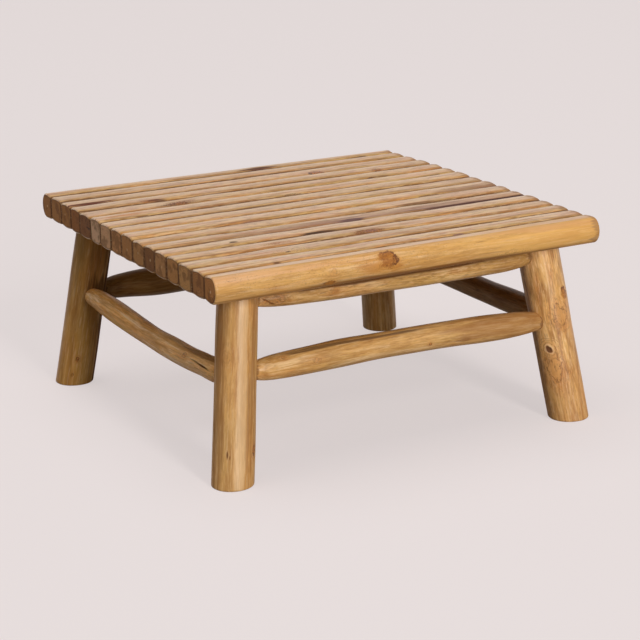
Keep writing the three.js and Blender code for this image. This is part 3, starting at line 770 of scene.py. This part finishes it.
def drill(piece, stick, screws):
    """Sinks the access hole of each screw into a rail, from below to the screw's head."""
    shape = bmesh.new()
    rail_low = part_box(stick.name)[0].z
    for screw in screws:
        low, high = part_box(screw)
        radius = (high.x - low.x) / 2 + HOLE_PLAY
        bottom, top = rail_low - 2 * radius, low.z + HOLE_PLAY
        middle = Vector(((low.x + high.x) / 2, (low.y + high.y) / 2, (bottom + top) / 2))
        bmesh.ops.create_cone(
            shape, cap_ends=True, segments=HOLE_SIDES, radius1=radius, radius2=radius,
            depth=top - bottom, matrix=Matrix.Translation(middle))
    mesh = bpy.data.meshes.new("cutter")
    shape.to_mesh(mesh)
    shape.free()
    cutter = put_in_scene("cutter", mesh)
    holes = piece.modifiers.new("holes", "BOOLEAN")
    holes.operation, holes.solver, holes.object = "DIFFERENCE", "EXACT", cutter
    drilled = bpy.data.meshes.new_from_object(piece.evaluated_get(bpy.context.evaluated_depsgraph_get()))
    shape = bmesh.new()
    shape.from_mesh(drilled)
    bmesh.ops.dissolve_degenerate(shape, dist=SHORTEST_EDGE, edges=shape.edges[:])
    shape.to_mesh(drilled)
    shape.free()
    piece.modifiers.clear()
    piece.data = drilled
    bpy.data.objects.remove(cutter)
    points = np.empty(len(drilled.vertices) * 3)
    drilled.vertices.foreach_get("co", points)
    grain = stick.locate(points.reshape(-1, 3) / MM).T
    drilled.attributes["grain"].data.foreach_set("vector", grain.astype(np.float32).ravel())
    drilled.set_sharp_from_angle(angle=RIM_ANGLE)


# Each knot is its place in world millimetres, its length, width and lift in
# millimetres, how dark it is, and its kind
KNOTS = {
    "top_pole_03": [((152, 257, 388), 17, 8, 0, 1.0, PLAIN)],
    "top_pole_04": [
        ((268, 206, 388), 9, 7, 0.2, 0.8, PLAIN),
        ((-252, 209, 390), 10, 5, 0, 0.5, PLAIN)],
    "top_pole_05": [((-203, 160, 390), 12, 6, 0.1, 0.5, PLAIN)],
    "top_pole_13": [((-6, -240, 390), 25, 11, 0.3, 0.5, PLAIN)],
    "top_pole_16": [
        ((-59, -396, 378), 15, 16, 0.9, 1.0, CRUMBLED),
        ((-170, -399, 371), 8, 7, 0.3, 0.25, PLAIN),
        ((-174, -394, 352), 8, 4, 0.2, 0.6, CRUMBLED)],
    "leg_front_left": [
        ((-379, -379, 65), 8, 4, 0.2, 0.12, PLAIN),
        ((-326, -378, 64), 9, 5, 0.3, 0.8, PLAIN),
        ((-361, -349, 236), 12, 9, 0.3, 0.3, PATCH)],
    "leg_front_right": [
        ((311, -363, 142), 6.5, 7, 1.0, 0.9, HOLE),
        ((333, -369, 206), 18, 14, 0.5, 1.0, PATCH),
        ((345, -358, 246), 12, 9, 0.8, 1.0, CRUMBLED),
        ((319, -372, 103), 21, 14, 0.5, 1.0, PATCH)],
    "leg_back_left": [
        ((-369, 315, 58), 5, 3.5, 0.2, 0.9, PLAIN),
        ((-379, 322, 24), 4, 3, 0, 0.6, PLAIN)],
    "leg_back_right": [((300, 290, 200), 12, 9, 0.4, 0.3, PLAIN)],
    "stretcher_front": [
        ((51, -360, 194), 4, 3, 0, 0.8, PLAIN),
        ((-183, -358, 202), 10, 5, 0.3, 0.3, PLAIN),
        ((-246, -347, 214), 5, 4, 0.2, 0.35, PLAIN)],
    "stretcher_left": [
        ((-357, -163, 190), 10, 6, 0.4, 0.5, PLAIN),
        ((-340, 39, 199), 12, 8, 0.6, 0.25, PLAIN)],
    "apron_front": [
        ((-136, -340, 320), 9, 6, 0.3, 0.3, PLAIN),
        ((-247, -328, 316), 26, 9, 0.3, 0.45, PLAIN)],
}
STAINS_AND_SHADING = {
    "top_pole_01": [StainAndShading((75, 359, 388), 50, 9, 0.95, rgb(88, 48, 34))],
    "top_pole_03": [StainAndShading((-350, 250, 389), 66, 13, 1.0, rgb(100, 54, 34))],
    "top_pole_04": [StainAndShading((-240, 209, 390), 30, 7, 1.0, rgb(92, 44, 30))],
    "top_pole_05": [
        StainAndShading((-203, 160, 390), 48, 13, 1.0, rgb(110, 72, 50), grit=SPECKLED),
        StainAndShading((-206, 160, 390), 36, 8, 1.0, rgb(62, 34, 22), grit=SPECKLED)],
    "top_pole_06": [
        StainAndShading((-330, 120, 388), 70, 10, 0.5, AMBER),
        StainAndShading((14, 104, 388), 16, 6, 0.9, UMBER, grit=SPECKLED)],
    "top_pole_09": [
        StainAndShading((-150, -49, 388), 26, 5, 0.6, PLUM),
        StainAndShading((352, -42, 389), 95, 14, 0.6, rgb(130, 100, 84))],
    "top_pole_10": [StainAndShading((190, -93, 388), 40, 6, 0.7, UMBER)],
    "top_pole_11": [
        StainAndShading((14, -141, 389), 26, 10, 1.0, SOOT),
        StainAndShading((-120, -135, 390), 190, 18, 0.5, PLUM),
        StainAndShading((170, -135, 390), 240, 15, 0.5, rgb(138, 104, 100)),
        StainAndShading((250, -146, 387), 150, 8, 0.9, rgb(72, 34, 30)),
        StainAndShading((345, -147, 387), 130, 9, 1.0, rgb(66, 30, 26), fray=0.8)],
    "top_pole_12": [
        StainAndShading((310, -154, 386), 190, 5, 0.8, SOOT),
        StainAndShading((-88, -194, 388), 42, 7, 0.95, SOOT),
        StainAndShading((-30, -196, 387), 120, 5, 0.7, UMBER),
        StainAndShading((-256, -178, 391), 9, 4, 0.9, SOOT)],
    "top_pole_13": [
        StainAndShading((-6, -240, 390), 32, 13, 1.0, rgb(96, 52, 34), grit=SPECKLED),
        StainAndShading((-2, -239, 391), 15, 6, 0.8, rgb(120, 104, 112), fray=1.5),
        StainAndShading((-190, -229, 391), 34, 9, 0.6, RUST, grit=SPECKLED),
        StainAndShading((246, -246, 388), 34, 10, 0.8, UMBER, grit=DOTTED)],
    "top_pole_14": [
        StainAndShading((-197, -288, 390), 34, 11, 0.8, UMBER, grit=DOTTED),
        StainAndShading((-204, -292, 389), 6, 3, 0.9, SOOT, fray=0.8)],
    "top_pole_15": [
        StainAndShading((121, -347, 387), 12, 6, 0.8, PLUM),
        StainAndShading((-255, -345, 388), 10, 4, 0.9, UMBER)],
    "top_pole_16": [
        StainAndShading((-177, -395, 350), 11, 5, 0.95, rgb(84, 46, 16)),
        StainAndShading((-82, -399, 366), 42, 9, 0.6, rgb(190, 124, 54)),
        StainAndShading((-44, -399, 366), 16, 12, 0.6, rgb(186, 116, 40)),
        StainAndShading((310, -398, 368), 190, 60, 0.45, rgb(238, 182, 98)),
        StainAndShading((-310, -391, 386), 170, 11, 0.5, rgb(222, 170, 130)),
        StainAndShading((280, -387, 388), 140, 11, 0.5, rgb(206, 150, 104)),
        StainAndShading((215, -397, 353), 40, 9, 0.6, UMBER, grit=DOTTED),
        StainAndShading((-150, -398, 374), 260, 30, 0.35, UMBER, grit=DOTTED),
        # Painted shade: a dark line along the underside of the front pole.
        StainAndShading((0, -391, 345), 520, 8, 0.75, rgb(116, 70, 28), fray=1.6)],
    "leg_front_left": [
        # Painted highlight: a pale band down the leg, where the key light's highlight falls.
        StainAndShading((-338, -368, 205), 420, 10, 0.4, CREAM, glossy=True),
        StainAndShading((-379, -379, 65), 8, 2, 0.9, UMBER, fray=0.5),
        StainAndShading((-375, -381, 60), 6, 1.8, 0.8, UMBER, fray=0.5),
        # Darker down the right side; painted shade down the left side.
        StainAndShading((-318, -372, 180), 260, 13, 0.6, BARK),
        StainAndShading((-384, -340, 190), 260, 24, 0.65, BARK)],
    "leg_front_right": [StainAndShading(0.02, 150, 90, 0.35, rgb(156, 100, 48))],
    "leg_back_left": [
        # Painted shade down the side under the table and near the top of the leg; painted shadow where
        # the left stretcher meets it.
        StainAndShading((-304, 312, 190), 420, 20, 0.75, UMBER),
        StainAndShading((-322, 292, 206), 30, 26, 0.7, rgb(62, 38, 16)),
        StainAndShading(0.32, 110, 70, 0.3, rgb(96, 62, 16))],
    "stretcher_front": [
        StainAndShading((123, -360, 190), 14, 4, 0.5, UMBER),
        StainAndShading((285, -355, 205), 190, 50, 0.6, BARK),
        # Painted shade: a dark line along the top edge, in the shade under the table.
        StainAndShading((-150, -346, 224), 200, 8, 0.75, rgb(76, 44, 20))],
    "stretcher_left": [
        StainAndShading((-357, -218, 189), 70, 1.9, 0.95, rgb(74, 38, 14), slant=0.067),
        StainAndShading((-345, -232, 207), 80, 14, 0.6, UMBER),
        StainAndShading((-360, 168, 189), 45, 5, 0.4, RUST),
        StainAndShading((-356, 60, 186), 40, 5, 0.4, RUST),
        StainAndShading((-356, -50, 182), 34, 6, 0.35, RUST),
        StainAndShading((-362, 120, 176), 90, 7, 0.5, HONEY),
        StainAndShading((-345, 20, 205), 240, 8, 0.4, UMBER)],
    "apron_front": [
        # Painted shadow: a dark line along the top, under the front pole.
        StainAndShading((-104, -338, 330), 480, 5, 0.9, UMBER, fray=1.5),
        StainAndShading((255, -325, 318), 100, 45, 0.5, rgb(150, 102, 50)),
        StainAndShading((-262, -329, 314), 22, 2, 0.9, UMBER, slant=-0.6),
        StainAndShading((-246, -328, 314), 28, 2, 0.9, UMBER, slant=-0.5),
        StainAndShading((-226, -328, 314), 26, 1.7, 0.8, UMBER, slant=-0.4)],
}
LOOKS = {
    "top_pole_16": dict(
        bleached_and_sheen=0.6, pale=0.35, base=rgb(212, 155, 80), other=rgb(222, 170, 96), crown=1.0,
        olive=0.15, bands=0.2, streaks=0.25, rings=0.12, mottle=0.14, flecks=0.12, fibres=0.2,
        gloss=0.4, tone=1.0),
    "leg_front_left": dict(
        rings=0.1, swing=0.008, streaks=0.2, lights=0.15, bands=0.3, rough=0.31, tone=0.96),
    # Painted light: a tone of 1.26 brightens this leg, whose upper part lies in shade.
    "leg_front_right": dict(
        rings=0.6, ring=0.008, swing=0.055, fibres=0.36, streaks=0.1, lights=0.25, bands=0.15,
        amber=0.5, flecks=0.32, mottle=0.4, tone=1.26, base=rgb(210, 158, 92),
        other=rgb(228, 182, 122)),
    "leg_back_left": dict(
        rings=0.15, streaks=0.4, lights=0.15, fibres=0.15, flecks=0.06, tone=0.94, gloss=0.15,
        base=rgb(188, 140, 66), other=rgb(204, 150, 76)),
    "leg_back_right": dict(rings=0.2, tone=0.96, gloss=0.2),
    "stretcher_front": dict(tone=1.08),
    "stretcher_left": dict(
        tone=1.42, gloss=0.15, base=rgb(215, 152, 73), other=rgb(222, 165, 91)),
    # Painted shade: a tone of 0.36 darkens the back stretcher, in the shade under the table.
    "stretcher_back": dict(tone=0.36, gloss=0.06),
    # Painted shade: a tone of 0.82 darkens the right stretcher, in the shade under the table.
    "stretcher_right": dict(tone=0.82, gloss=0.12),
    "apron_front": dict(tone=1.1, base=rgb(202, 158, 86), flecks=0.36),
}


def finish_piece(stick, node, seed, look, joints_and_shade, screws=()):
    """The piece that replaces a node. Its extra marks are dark joints where it meets others, and painted
    shade and shadow.
    """
    stick.add_knots(KNOTS.get(node, ()))
    stick.swell_knots()
    piece = stick.build()
    if screws:
        drill(piece, stick, screws)
    look = look | LOOKS.get(node, {})
    stains_and_shading = [*STAINS_AND_SHADING.get(node, ()), *joints_and_shade]
    piece.data.materials.append(wood("wood_" + stick.name, stick, seed, look, stains_and_shading))
    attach(piece, "root")
    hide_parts(node)


# Painted shade: the right-hand ends of the poles are greyer
END_SHADE = StainAndShading(0.399, 15, 90, 0.5, rgb(122, 84, 62))
FACES = [rgb(*shade) for shade in (
    (186, 128, 76), (192, 134, 80), (178, 122, 68), (164, 106, 58), (150, 100, 60), (236, 190, 150),
    (228, 176, 130), (216, 154, 98), (190, 132, 78), (196, 140, 84), (150, 100, 54), (200, 144, 90),
    (204, 144, 84), (222, 164, 100), (186, 126, 72), (210, 142, 82),
)]
# How much paler each pole's crown is made, partly a painted sheen
BLEACHING_AND_SHEEN = [0.15] * 7 + [0.3] * 5 + [0.15] + [0.0] * 3
CHECKED_POLE, RINGED_POLES = 4, (4, 10, 13, 14, 15)

rng = np.random.default_rng(20)
for pole in range(POLE_COUNT):
    look = {
        "crown": 0.85,
        "bleached_and_sheen": BLEACHING_AND_SHEEN[pole],
        "fibres": 0.5,
        "pith": (rng.uniform(-0.006, 0.006), rng.uniform(-0.006, 0.004)),
        "tone": rng.uniform(0.94, 1.04),
        "swing": 0.012,
        "face": FACES[pole],
        "checks": 1.0 if pole == CHECKED_POLE else 0.15,
        "face_rings": 0.35 if pole in RINGED_POLES else 0.1,
        "heart": rng.uniform(-0.5, 1.0) if pole else 0.8,
    }
    finish_piece(pole_stick(pole), f"top_pole_{pole + 1:02d}", pole + 1, look, [END_SHADE])


# Legs: to which side and end of the table, how their section turns, and their
# girths at the foot and at the top
LEGS = {
    "front_left": (-1, -1, 0.4, 0.985, 0.96),
    "front_right": (1, -1, 1.9, 0.98, 1.03),
    "back_left": (-1, 1, 3.1, 0.96, 0.955),
    "back_right": (1, 1, 4.6, 0.93, 0.91),
}
LEG_RADIUS, LEG_INSET_X, LEG_INSET_Y, LEG_SPLAY_X, LEG_SPLAY_Y = 0.0395, 0.085, 0.090, 0.045, 0.048
LEG_TOP = UNDERSIDE - 0.0003
LEG_GIRTHS = [(0, 1), (0.2, 1), (0.5, 0.985), (0.75, 0.995), (1, 0.98)]
LEG_SIDES, RAIL_SIDES = 96, 72
OVAL, THREE_SIDED = 0.012, 0.007
# The weathering of the skin: its depth, and the length and width of its waves
WEATHER_DEEP, WEATHER_IN, WEATHER_REACH = 0.0006, 0.2, 0.03
LUMPS, FACETS, FACET_SHARE, FACETS_SEED = (0.10, 0.03), (0.22, 0.0085), 0.45, 50
LEG_SHAPE_SEED, LEG_WOOD_SEED, RAIL_SEED = 31, 40, 60


def leg_axis(side, end, height):
    fall = 1 - height / UNDERSIDE
    x = side * (TOP_LENGTH / 2 - LEG_INSET_X + LEG_SPLAY_X * fall)
    y = end * (TOP_DEPTH / 2 - LEG_INSET_Y + LEG_SPLAY_Y * fall)
    return x, y


def weather(stick, seed):
    """The long facets and soft lumps of a peeled pole."""
    s = np.broadcast_to(stick.stations[:, None], stick.first.shape)
    angle = np.arctan2(stick.second, stick.first)
    ring = np.cos(angle) * WEATHER_REACH, np.sin(angle) * WEATHER_REACH
    waves = relief(s, *ring, seed, *LUMPS) + FACET_SHARE * relief(s, *ring, seed + FACETS_SEED, *FACETS)
    stick.swell(WEATHER_DEEP * waves - WEATHER_DEEP * WEATHER_IN)


def leg_stick(name, seed):
    side, end, turn, foot_girth, top_girth = LEGS[name]
    z, inset = stations_between(0, LEG_TOP, LEG_ARRIS)
    angles = np.arange(LEG_SIDES) * 2 * math.pi / LEG_SIDES
    lean = np.array([side * LEG_SPLAY_X, end * LEG_SPLAY_Y])
    stretch = math.hypot(np.hypot(*lean), UNDERSIDE) / UNDERSIDE
    lean = lean / np.hypot(*lean)
    girth = foot_girth + (top_girth - foot_girth) * z / LEG_TOP
    radius = LEG_RADIUS * girth * smooth_through(*zip(*LEG_GIRTHS), z / LEG_TOP) - inset
    natural = 1 + OVAL * np.cos(2 * angles + turn) + THREE_SIDED * np.cos(3 * angles - turn)
    onward = radius[:, None] * natural * stretch * np.cos(angles)
    sideways = radius[:, None] * natural * np.sin(angles)
    first = lean[0] * onward - lean[1] * sideways
    second = lean[1] * onward + lean[0] * sideways
    x, y = leg_axis(side, end, z)
    stick = Stick("leg_" + name, (0, 0, 0), (0, 0, 1), (1, 0, 0), (0, 1, 0), z, x, y, first, second)
    weather(stick, seed)
    return stick


LEG_LOOK = dict(
    base=rgb(206, 150, 82), other=rgb(214, 164, 98), fibres=0.28, flecks=0.14, mottle=0.22,
    gloss=0.4, rough=0.24)
for order, name in enumerate(LEGS):
    # Painted shadow: a dark band round the top of each leg, under the poles.
    shadow_under_top = StainAndShading(LEG_TOP, 5, 60, 0.75, UMBER)
    finish_piece(
        leg_stick(name, LEG_SHAPE_SEED + order), "leg_" + name, LEG_WOOD_SEED + order,
        LEG_LOOK, [shadow_under_top])


# Rails: from and to which leg and height, their diameter, how far their far end
# stands beside its leg's axis as a share of the leg's width, and a table of
# shares of the length with the lift and girth there as shares of the diameter
APRON_TABLE = [
    (0.058, 0, 0.58), (0.08, 0, 0.68), (0.13, 0, 0.82), (0.2, 0, 0.92), (0.3, 0, 1),
    (0.5, 0, 1.02), (0.8, 0, 1.01), (0.88, 0, 0.95), (0.92, 0, 0.82), (0.942, 0, 0.68)]
SIDE_TABLE = [
    (0.058, 0, 0.64), (0.08, 0, 0.85), (0.14, 0, 0.98), (0.5, 0, 1),
    (0.86, 0, 0.98), (0.92, 0, 0.85), (0.942, 0, 0.64)]
APRON_DIAMETER, SIDE_DIAMETER, SIDE_FLAT = 0.045, 0.046, 0.003
APRON_LEVEL = LEG_TOP - APRON_DIAMETER / 2 * 1.02
SIDE_LEVEL = LEG_TOP - (SIDE_DIAMETER / 2 - SIDE_FLAT)
APRON, SIDE_RAIL = (APRON_LEVEL, APRON_LEVEL, APRON_DIAMETER), (SIDE_LEVEL, SIDE_LEVEL, SIDE_DIAMETER)
RAILS = {
    "stretcher_front": ("front_left", "front_right", 0.194, 0.194, 0.050, 0.11, [
        (0.055, 0, 0.66), (0.075, 0, 0.78), (0.1, 0.01, 0.87), (0.14, 0.025, 0.94),
        (0.22, 0.055, 1.01), (0.31, 0.1, 1.05), (0.42, 0.12, 0.985), (0.54, 0.12, 0.98),
        (0.67, 0.105, 0.985), (0.77, 0.065, 1.015), (0.85, 0.03, 0.96), (0.9, 0.02, 0.87),
        (0.928, 0.01, 0.78), (0.945, 0, 0.7)]),
    "stretcher_back": ("back_left", "back_right", 0.190, 0.190, 0.052, 0, [
        (0.055, 0.01, 0.66), (0.08, 0.02, 0.84), (0.13, 0.03, 0.98), (0.22, 0, 1.12),
        (0.34, 0, 1.12), (0.5, 0.04, 1.04), (0.7, 0.04, 0.98), (0.87, 0.02, 1), (0.92, 0.01, 0.88),
        (0.945, 0, 0.68)]),
    "stretcher_left": ("front_left", "back_left", 0.183, 0.190, 0.045, -0.05, [
        (0.055, 0, 0.7), (0.075, -0.02, 0.85), (0.176, -0.09, 0.94),
        (0.276, -0.18, 0.95), (0.38, -0.21, 0.96), (0.49, -0.23, 0.92), (0.6, -0.18, 0.955),
        (0.69, -0.12, 0.975), (0.77, -0.06, 0.98), (0.84, -0.01, 0.92), (0.9, 0.02, 0.83),
        (0.93, 0.01, 0.76), (0.945, 0, 0.7)]),
    "stretcher_right": ("front_right", "back_right", 0.196, 0.196, 0.052, 0, [
        (0.055, 0, 0.68), (0.08, 0, 0.84), (0.16, -0.02, 0.92), (0.35, -0.04, 0.88),
        (0.55, 0.01, 0.92), (0.75, 0.02, 1), (0.87, 0.01, 0.96), (0.92, 0, 0.86), (0.945, 0, 0.68)]),
    "apron_front": ("front_left", "front_right", *APRON, 0.15, APRON_TABLE),
    "apron_back": ("back_left", "back_right", *APRON, 0, APRON_TABLE),
    "side_rail_left": ("front_left", "back_left", *SIDE_RAIL, 0, SIDE_TABLE),
    "side_rail_right": ("front_right", "back_right", *SIDE_RAIL, 0, SIDE_TABLE),
}
TENON_RADIUS, TENON_FROM, NOSE_FROM, NOSE_WHOLE = 0.011, 0.0145, 0.0255, 0.0285
NOSE_MORE, RAIL_END = 0.001, 0.035


def rail_stick(name, seed):
    from_leg, to_leg, from_height, to_height, diameter, shift, table = RAILS[name]
    start = Vector((*leg_axis(*LEGS[from_leg][:2], from_height), from_height))
    end = Vector((*leg_axis(*LEGS[to_leg][:2], to_height), to_height))
    end += (end - start).cross(Vector((0, 0, 1))).normalized() * shift * 2 * LEG_RADIUS
    along = (end - start).normalized()
    side = Vector((0, 0, 1)).cross(along).normalized()
    up = along.cross(side)
    length = (end - start).length
    s, inset = stations_between(TENON_FROM, length - TENON_FROM, RAIL_ARRIS)
    places, lifts, girths = zip((RAIL_END, 0, 0.5), *table, (1 - RAIL_END, 0, 0.5))
    lift = smooth_through(places, lifts, s / length) * diameter
    radius = smooth_through(places, girths, s / length) * diameter / 2
    nose = eased(NOSE_FROM, NOSE_WHOLE, np.minimum(s, length - s))
    nose_radius = np.maximum(radius, TENON_RADIUS + NOSE_MORE)
    radius = TENON_RADIUS + (nose_radius - TENON_RADIUS) * nose - inset
    angles = (-np.arange(RAIL_SIDES) * 2 * math.pi / RAIL_SIDES)[::-1]
    first, second = (radius[:, None] * wave(angles) for wave in (np.cos, np.sin))
    stick = Stick(name, start, along, side, up, s, np.zeros_like(s), lift, first, second)
    weather(stick, seed)
    if name.startswith("side_rail"):
        stick.second = np.minimum(stick.second, LEG_TOP - SIDE_LEVEL)
    return stick


RAIL_LOOK = dict(
    base=rgb(204, 152, 84), other=rgb(216, 168, 104), streaks=0.3, flecks=0.16, mottle=0.25,
    gloss=0.25)
# Where a rail's skin meets its leg's, from the end of its tenon
JOINT_LINE = LEG_RADIUS - TENON_FROM - 0.0065
for order, name in enumerate(RAILS):
    stick = rail_stick(name, RAIL_SEED + order)
    joints = stick.stations[0] + JOINT_LINE, stick.stations[-1] - JOINT_LINE
    screws = ()
    if name.startswith("side_rail"):
        screw_name = name.replace("side_rail", "rail_screw")
        screws = [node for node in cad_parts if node.startswith(screw_name)]
    finish_piece(
        stick, name, RAIL_SEED + order, RAIL_LOOK,
        [StainAndShading(along, 6, 60, 0.6, UMBER) for along in joints], screws)


# The hidden dowels and pegs, and the screws, keep their solids
def dowel_material():
    material, g = new_material("dowel_wood")
    place = g.node("ShaderNodeTexCoord").outputs["Object"]
    fibre = g.noise(place, (300.0, 20.0, 300.0), 3.0, 0.6)
    g.finish({
        "Base Color": g.mix(g.span(fibre, 0.4, 0.7), rgb(222, 190, 142), rgb(190, 148, 98)),
        "Roughness": g.math("MULTIPLY_ADD", fibre, 0.2, 0.55),
    })
    return material


def screw_material():
    material, g = new_material("screw_steel")
    place = g.node("ShaderNodeTexCoord").outputs["Object"]
    scratch = g.noise(place, (900.0, 900.0, 120.0), 2.0, 0.5)
    g.finish({
        "Base Color": g.mix(scratch, rgb(168, 168, 164), rgb(196, 196, 192)),
        "Metallic": 1.0,
        "Roughness": g.math("MULTIPLY_ADD", scratch, 0.2, 0.25),
    })
    return material


pin_materials = {("tie_dowel", "leg_peg"): dowel_material(), ("rail_screw",): screw_material()}
for name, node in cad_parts.items():
    for starts, material in pin_materials.items():
        if name.startswith(starts):
            node.data.materials.clear()
            node.data.materials.append(material)


# Floor, backdrop and light
BACKDROP = rgb(230, 221, 220)
FLOOR_FOR_LIGHT = (0.20, 0.185, 0.175, 1)
SHADOW_SHARE, FLOOR_LEVEL, SKY_LEVEL = 0.25, 0.76, 0.06
SKY_FOR_LIGHT = (1.0, 0.98, 0.96, 1)
FLOOR_REACH, FLOOR_DROP = 40.0, 0.0003
STRIP_FAR = 20.0


def seen_or_lit_by(g, path, lit_by, seen):
    """What the camera, gloss and glass see, and what all other rays are lit by."""
    mask = path["Is Camera Ray"]
    for kind in ("Is Glossy Ray", "Is Transmission Ray"):
        mask = g.math("MAXIMUM", mask, path[kind])
    return g.node("ShaderNodeMixShader", {0: mask, 1: lit_by.outputs[0], 2: seen.outputs[0]}).outputs[0]


def add_floor():
    material, g = new_material("floor")
    path = g.node("ShaderNodeLightPath").outputs
    dull = g.node("ShaderNodeBsdfDiffuse", {"Color": FLOOR_FOR_LIGHT})
    shade = [channel / FLOOR_LEVEL for channel in BACKDROP[:3]] + [1]
    shaded = g.node("ShaderNodeBsdfDiffuse", {"Color": shade})
    plain = g.node("ShaderNodeEmission", {"Color": BACKDROP, "Strength": 1.0})
    # Gloss reflects the lit floor itself, with the table's shadow on it
    share = g.math("MAXIMUM", SHADOW_SHARE, path["Is Glossy Ray"])
    seen = g.node("ShaderNodeMixShader", {0: share, 1: plain.outputs[0], 2: shaded.outputs[0]})
    g.node("ShaderNodeOutputMaterial", {"Surface": seen_or_lit_by(g, path, dull, seen)})
    corners = [(-1, -1, 0), (1, -1, 0), (1, 1, 0), (-1, 1, 0)]
    points = np.array(corners) * FLOOR_REACH - [0, 0, FLOOR_DROP]
    mesh = make_mesh("floor", points, [(0, 1, 2, 3)])
    mesh.materials.append(material)
    floor = put_in_scene("floor", mesh)


def add_world():
    world = bpy.data.worlds.new("world")
    bpy.context.scene.world = world
    g = Graph(world)
    path = g.node("ShaderNodeLightPath").outputs
    soft = g.node("ShaderNodeBackground", {"Color": SKY_FOR_LIGHT, "Strength": SKY_LEVEL})
    seen = g.node("ShaderNodeBackground", {"Color": BACKDROP, "Strength": 1.0})
    g.node("ShaderNodeOutputWorld", {"Surface": seen_or_lit_by(g, path, soft, seen)})


def add_sun(name, direction, softness, level):
    """level is how bright it makes white paper that faces it."""
    data = bpy.data.lights.new(name, "SUN")
    data.angle = math.radians(softness)
    data.energy = level * math.pi
    lamp = put_in_scene(name, data)
    lamp.rotation_euler = Vector(direction).normalized().to_track_quat("Z", "Y").to_euler()


def add_strip(name, azimuth, low, high, wide, level, colour):
    """A tall far light between two angles of elevation, wide degrees across."""
    data = bpy.data.lights.new(name, "AREA")
    data.shape = "RECTANGLE"
    data.size = 2 * STRIP_FAR * math.tan(math.radians(wide / 2))
    data.size_y = 2 * STRIP_FAR * math.tan(math.radians((high - low) / 2))
    data.energy = level * (math.pi * STRIP_FAR) ** 2
    data.color = colour
    turned = facing(azimuth + 90, (low + high) / 2)
    put_in_scene(name, data).matrix_world = turned @ Matrix.Translation((0, 0, STRIP_FAR))


add_floor()
add_world()
add_strip("key", azimuth=-91, low=1, high=35, wide=9, level=0.80, colour=(1.0, 0.985, 0.96))
add_sun("overhead", direction=(-0.1, 0.15, 1.0), softness=60, level=0.42)
add_sun("left_fill", direction=(-1.0, -0.1, 0.6), softness=40, level=0.08)
bpy.context.scene.view_settings.view_transform = "Standard"
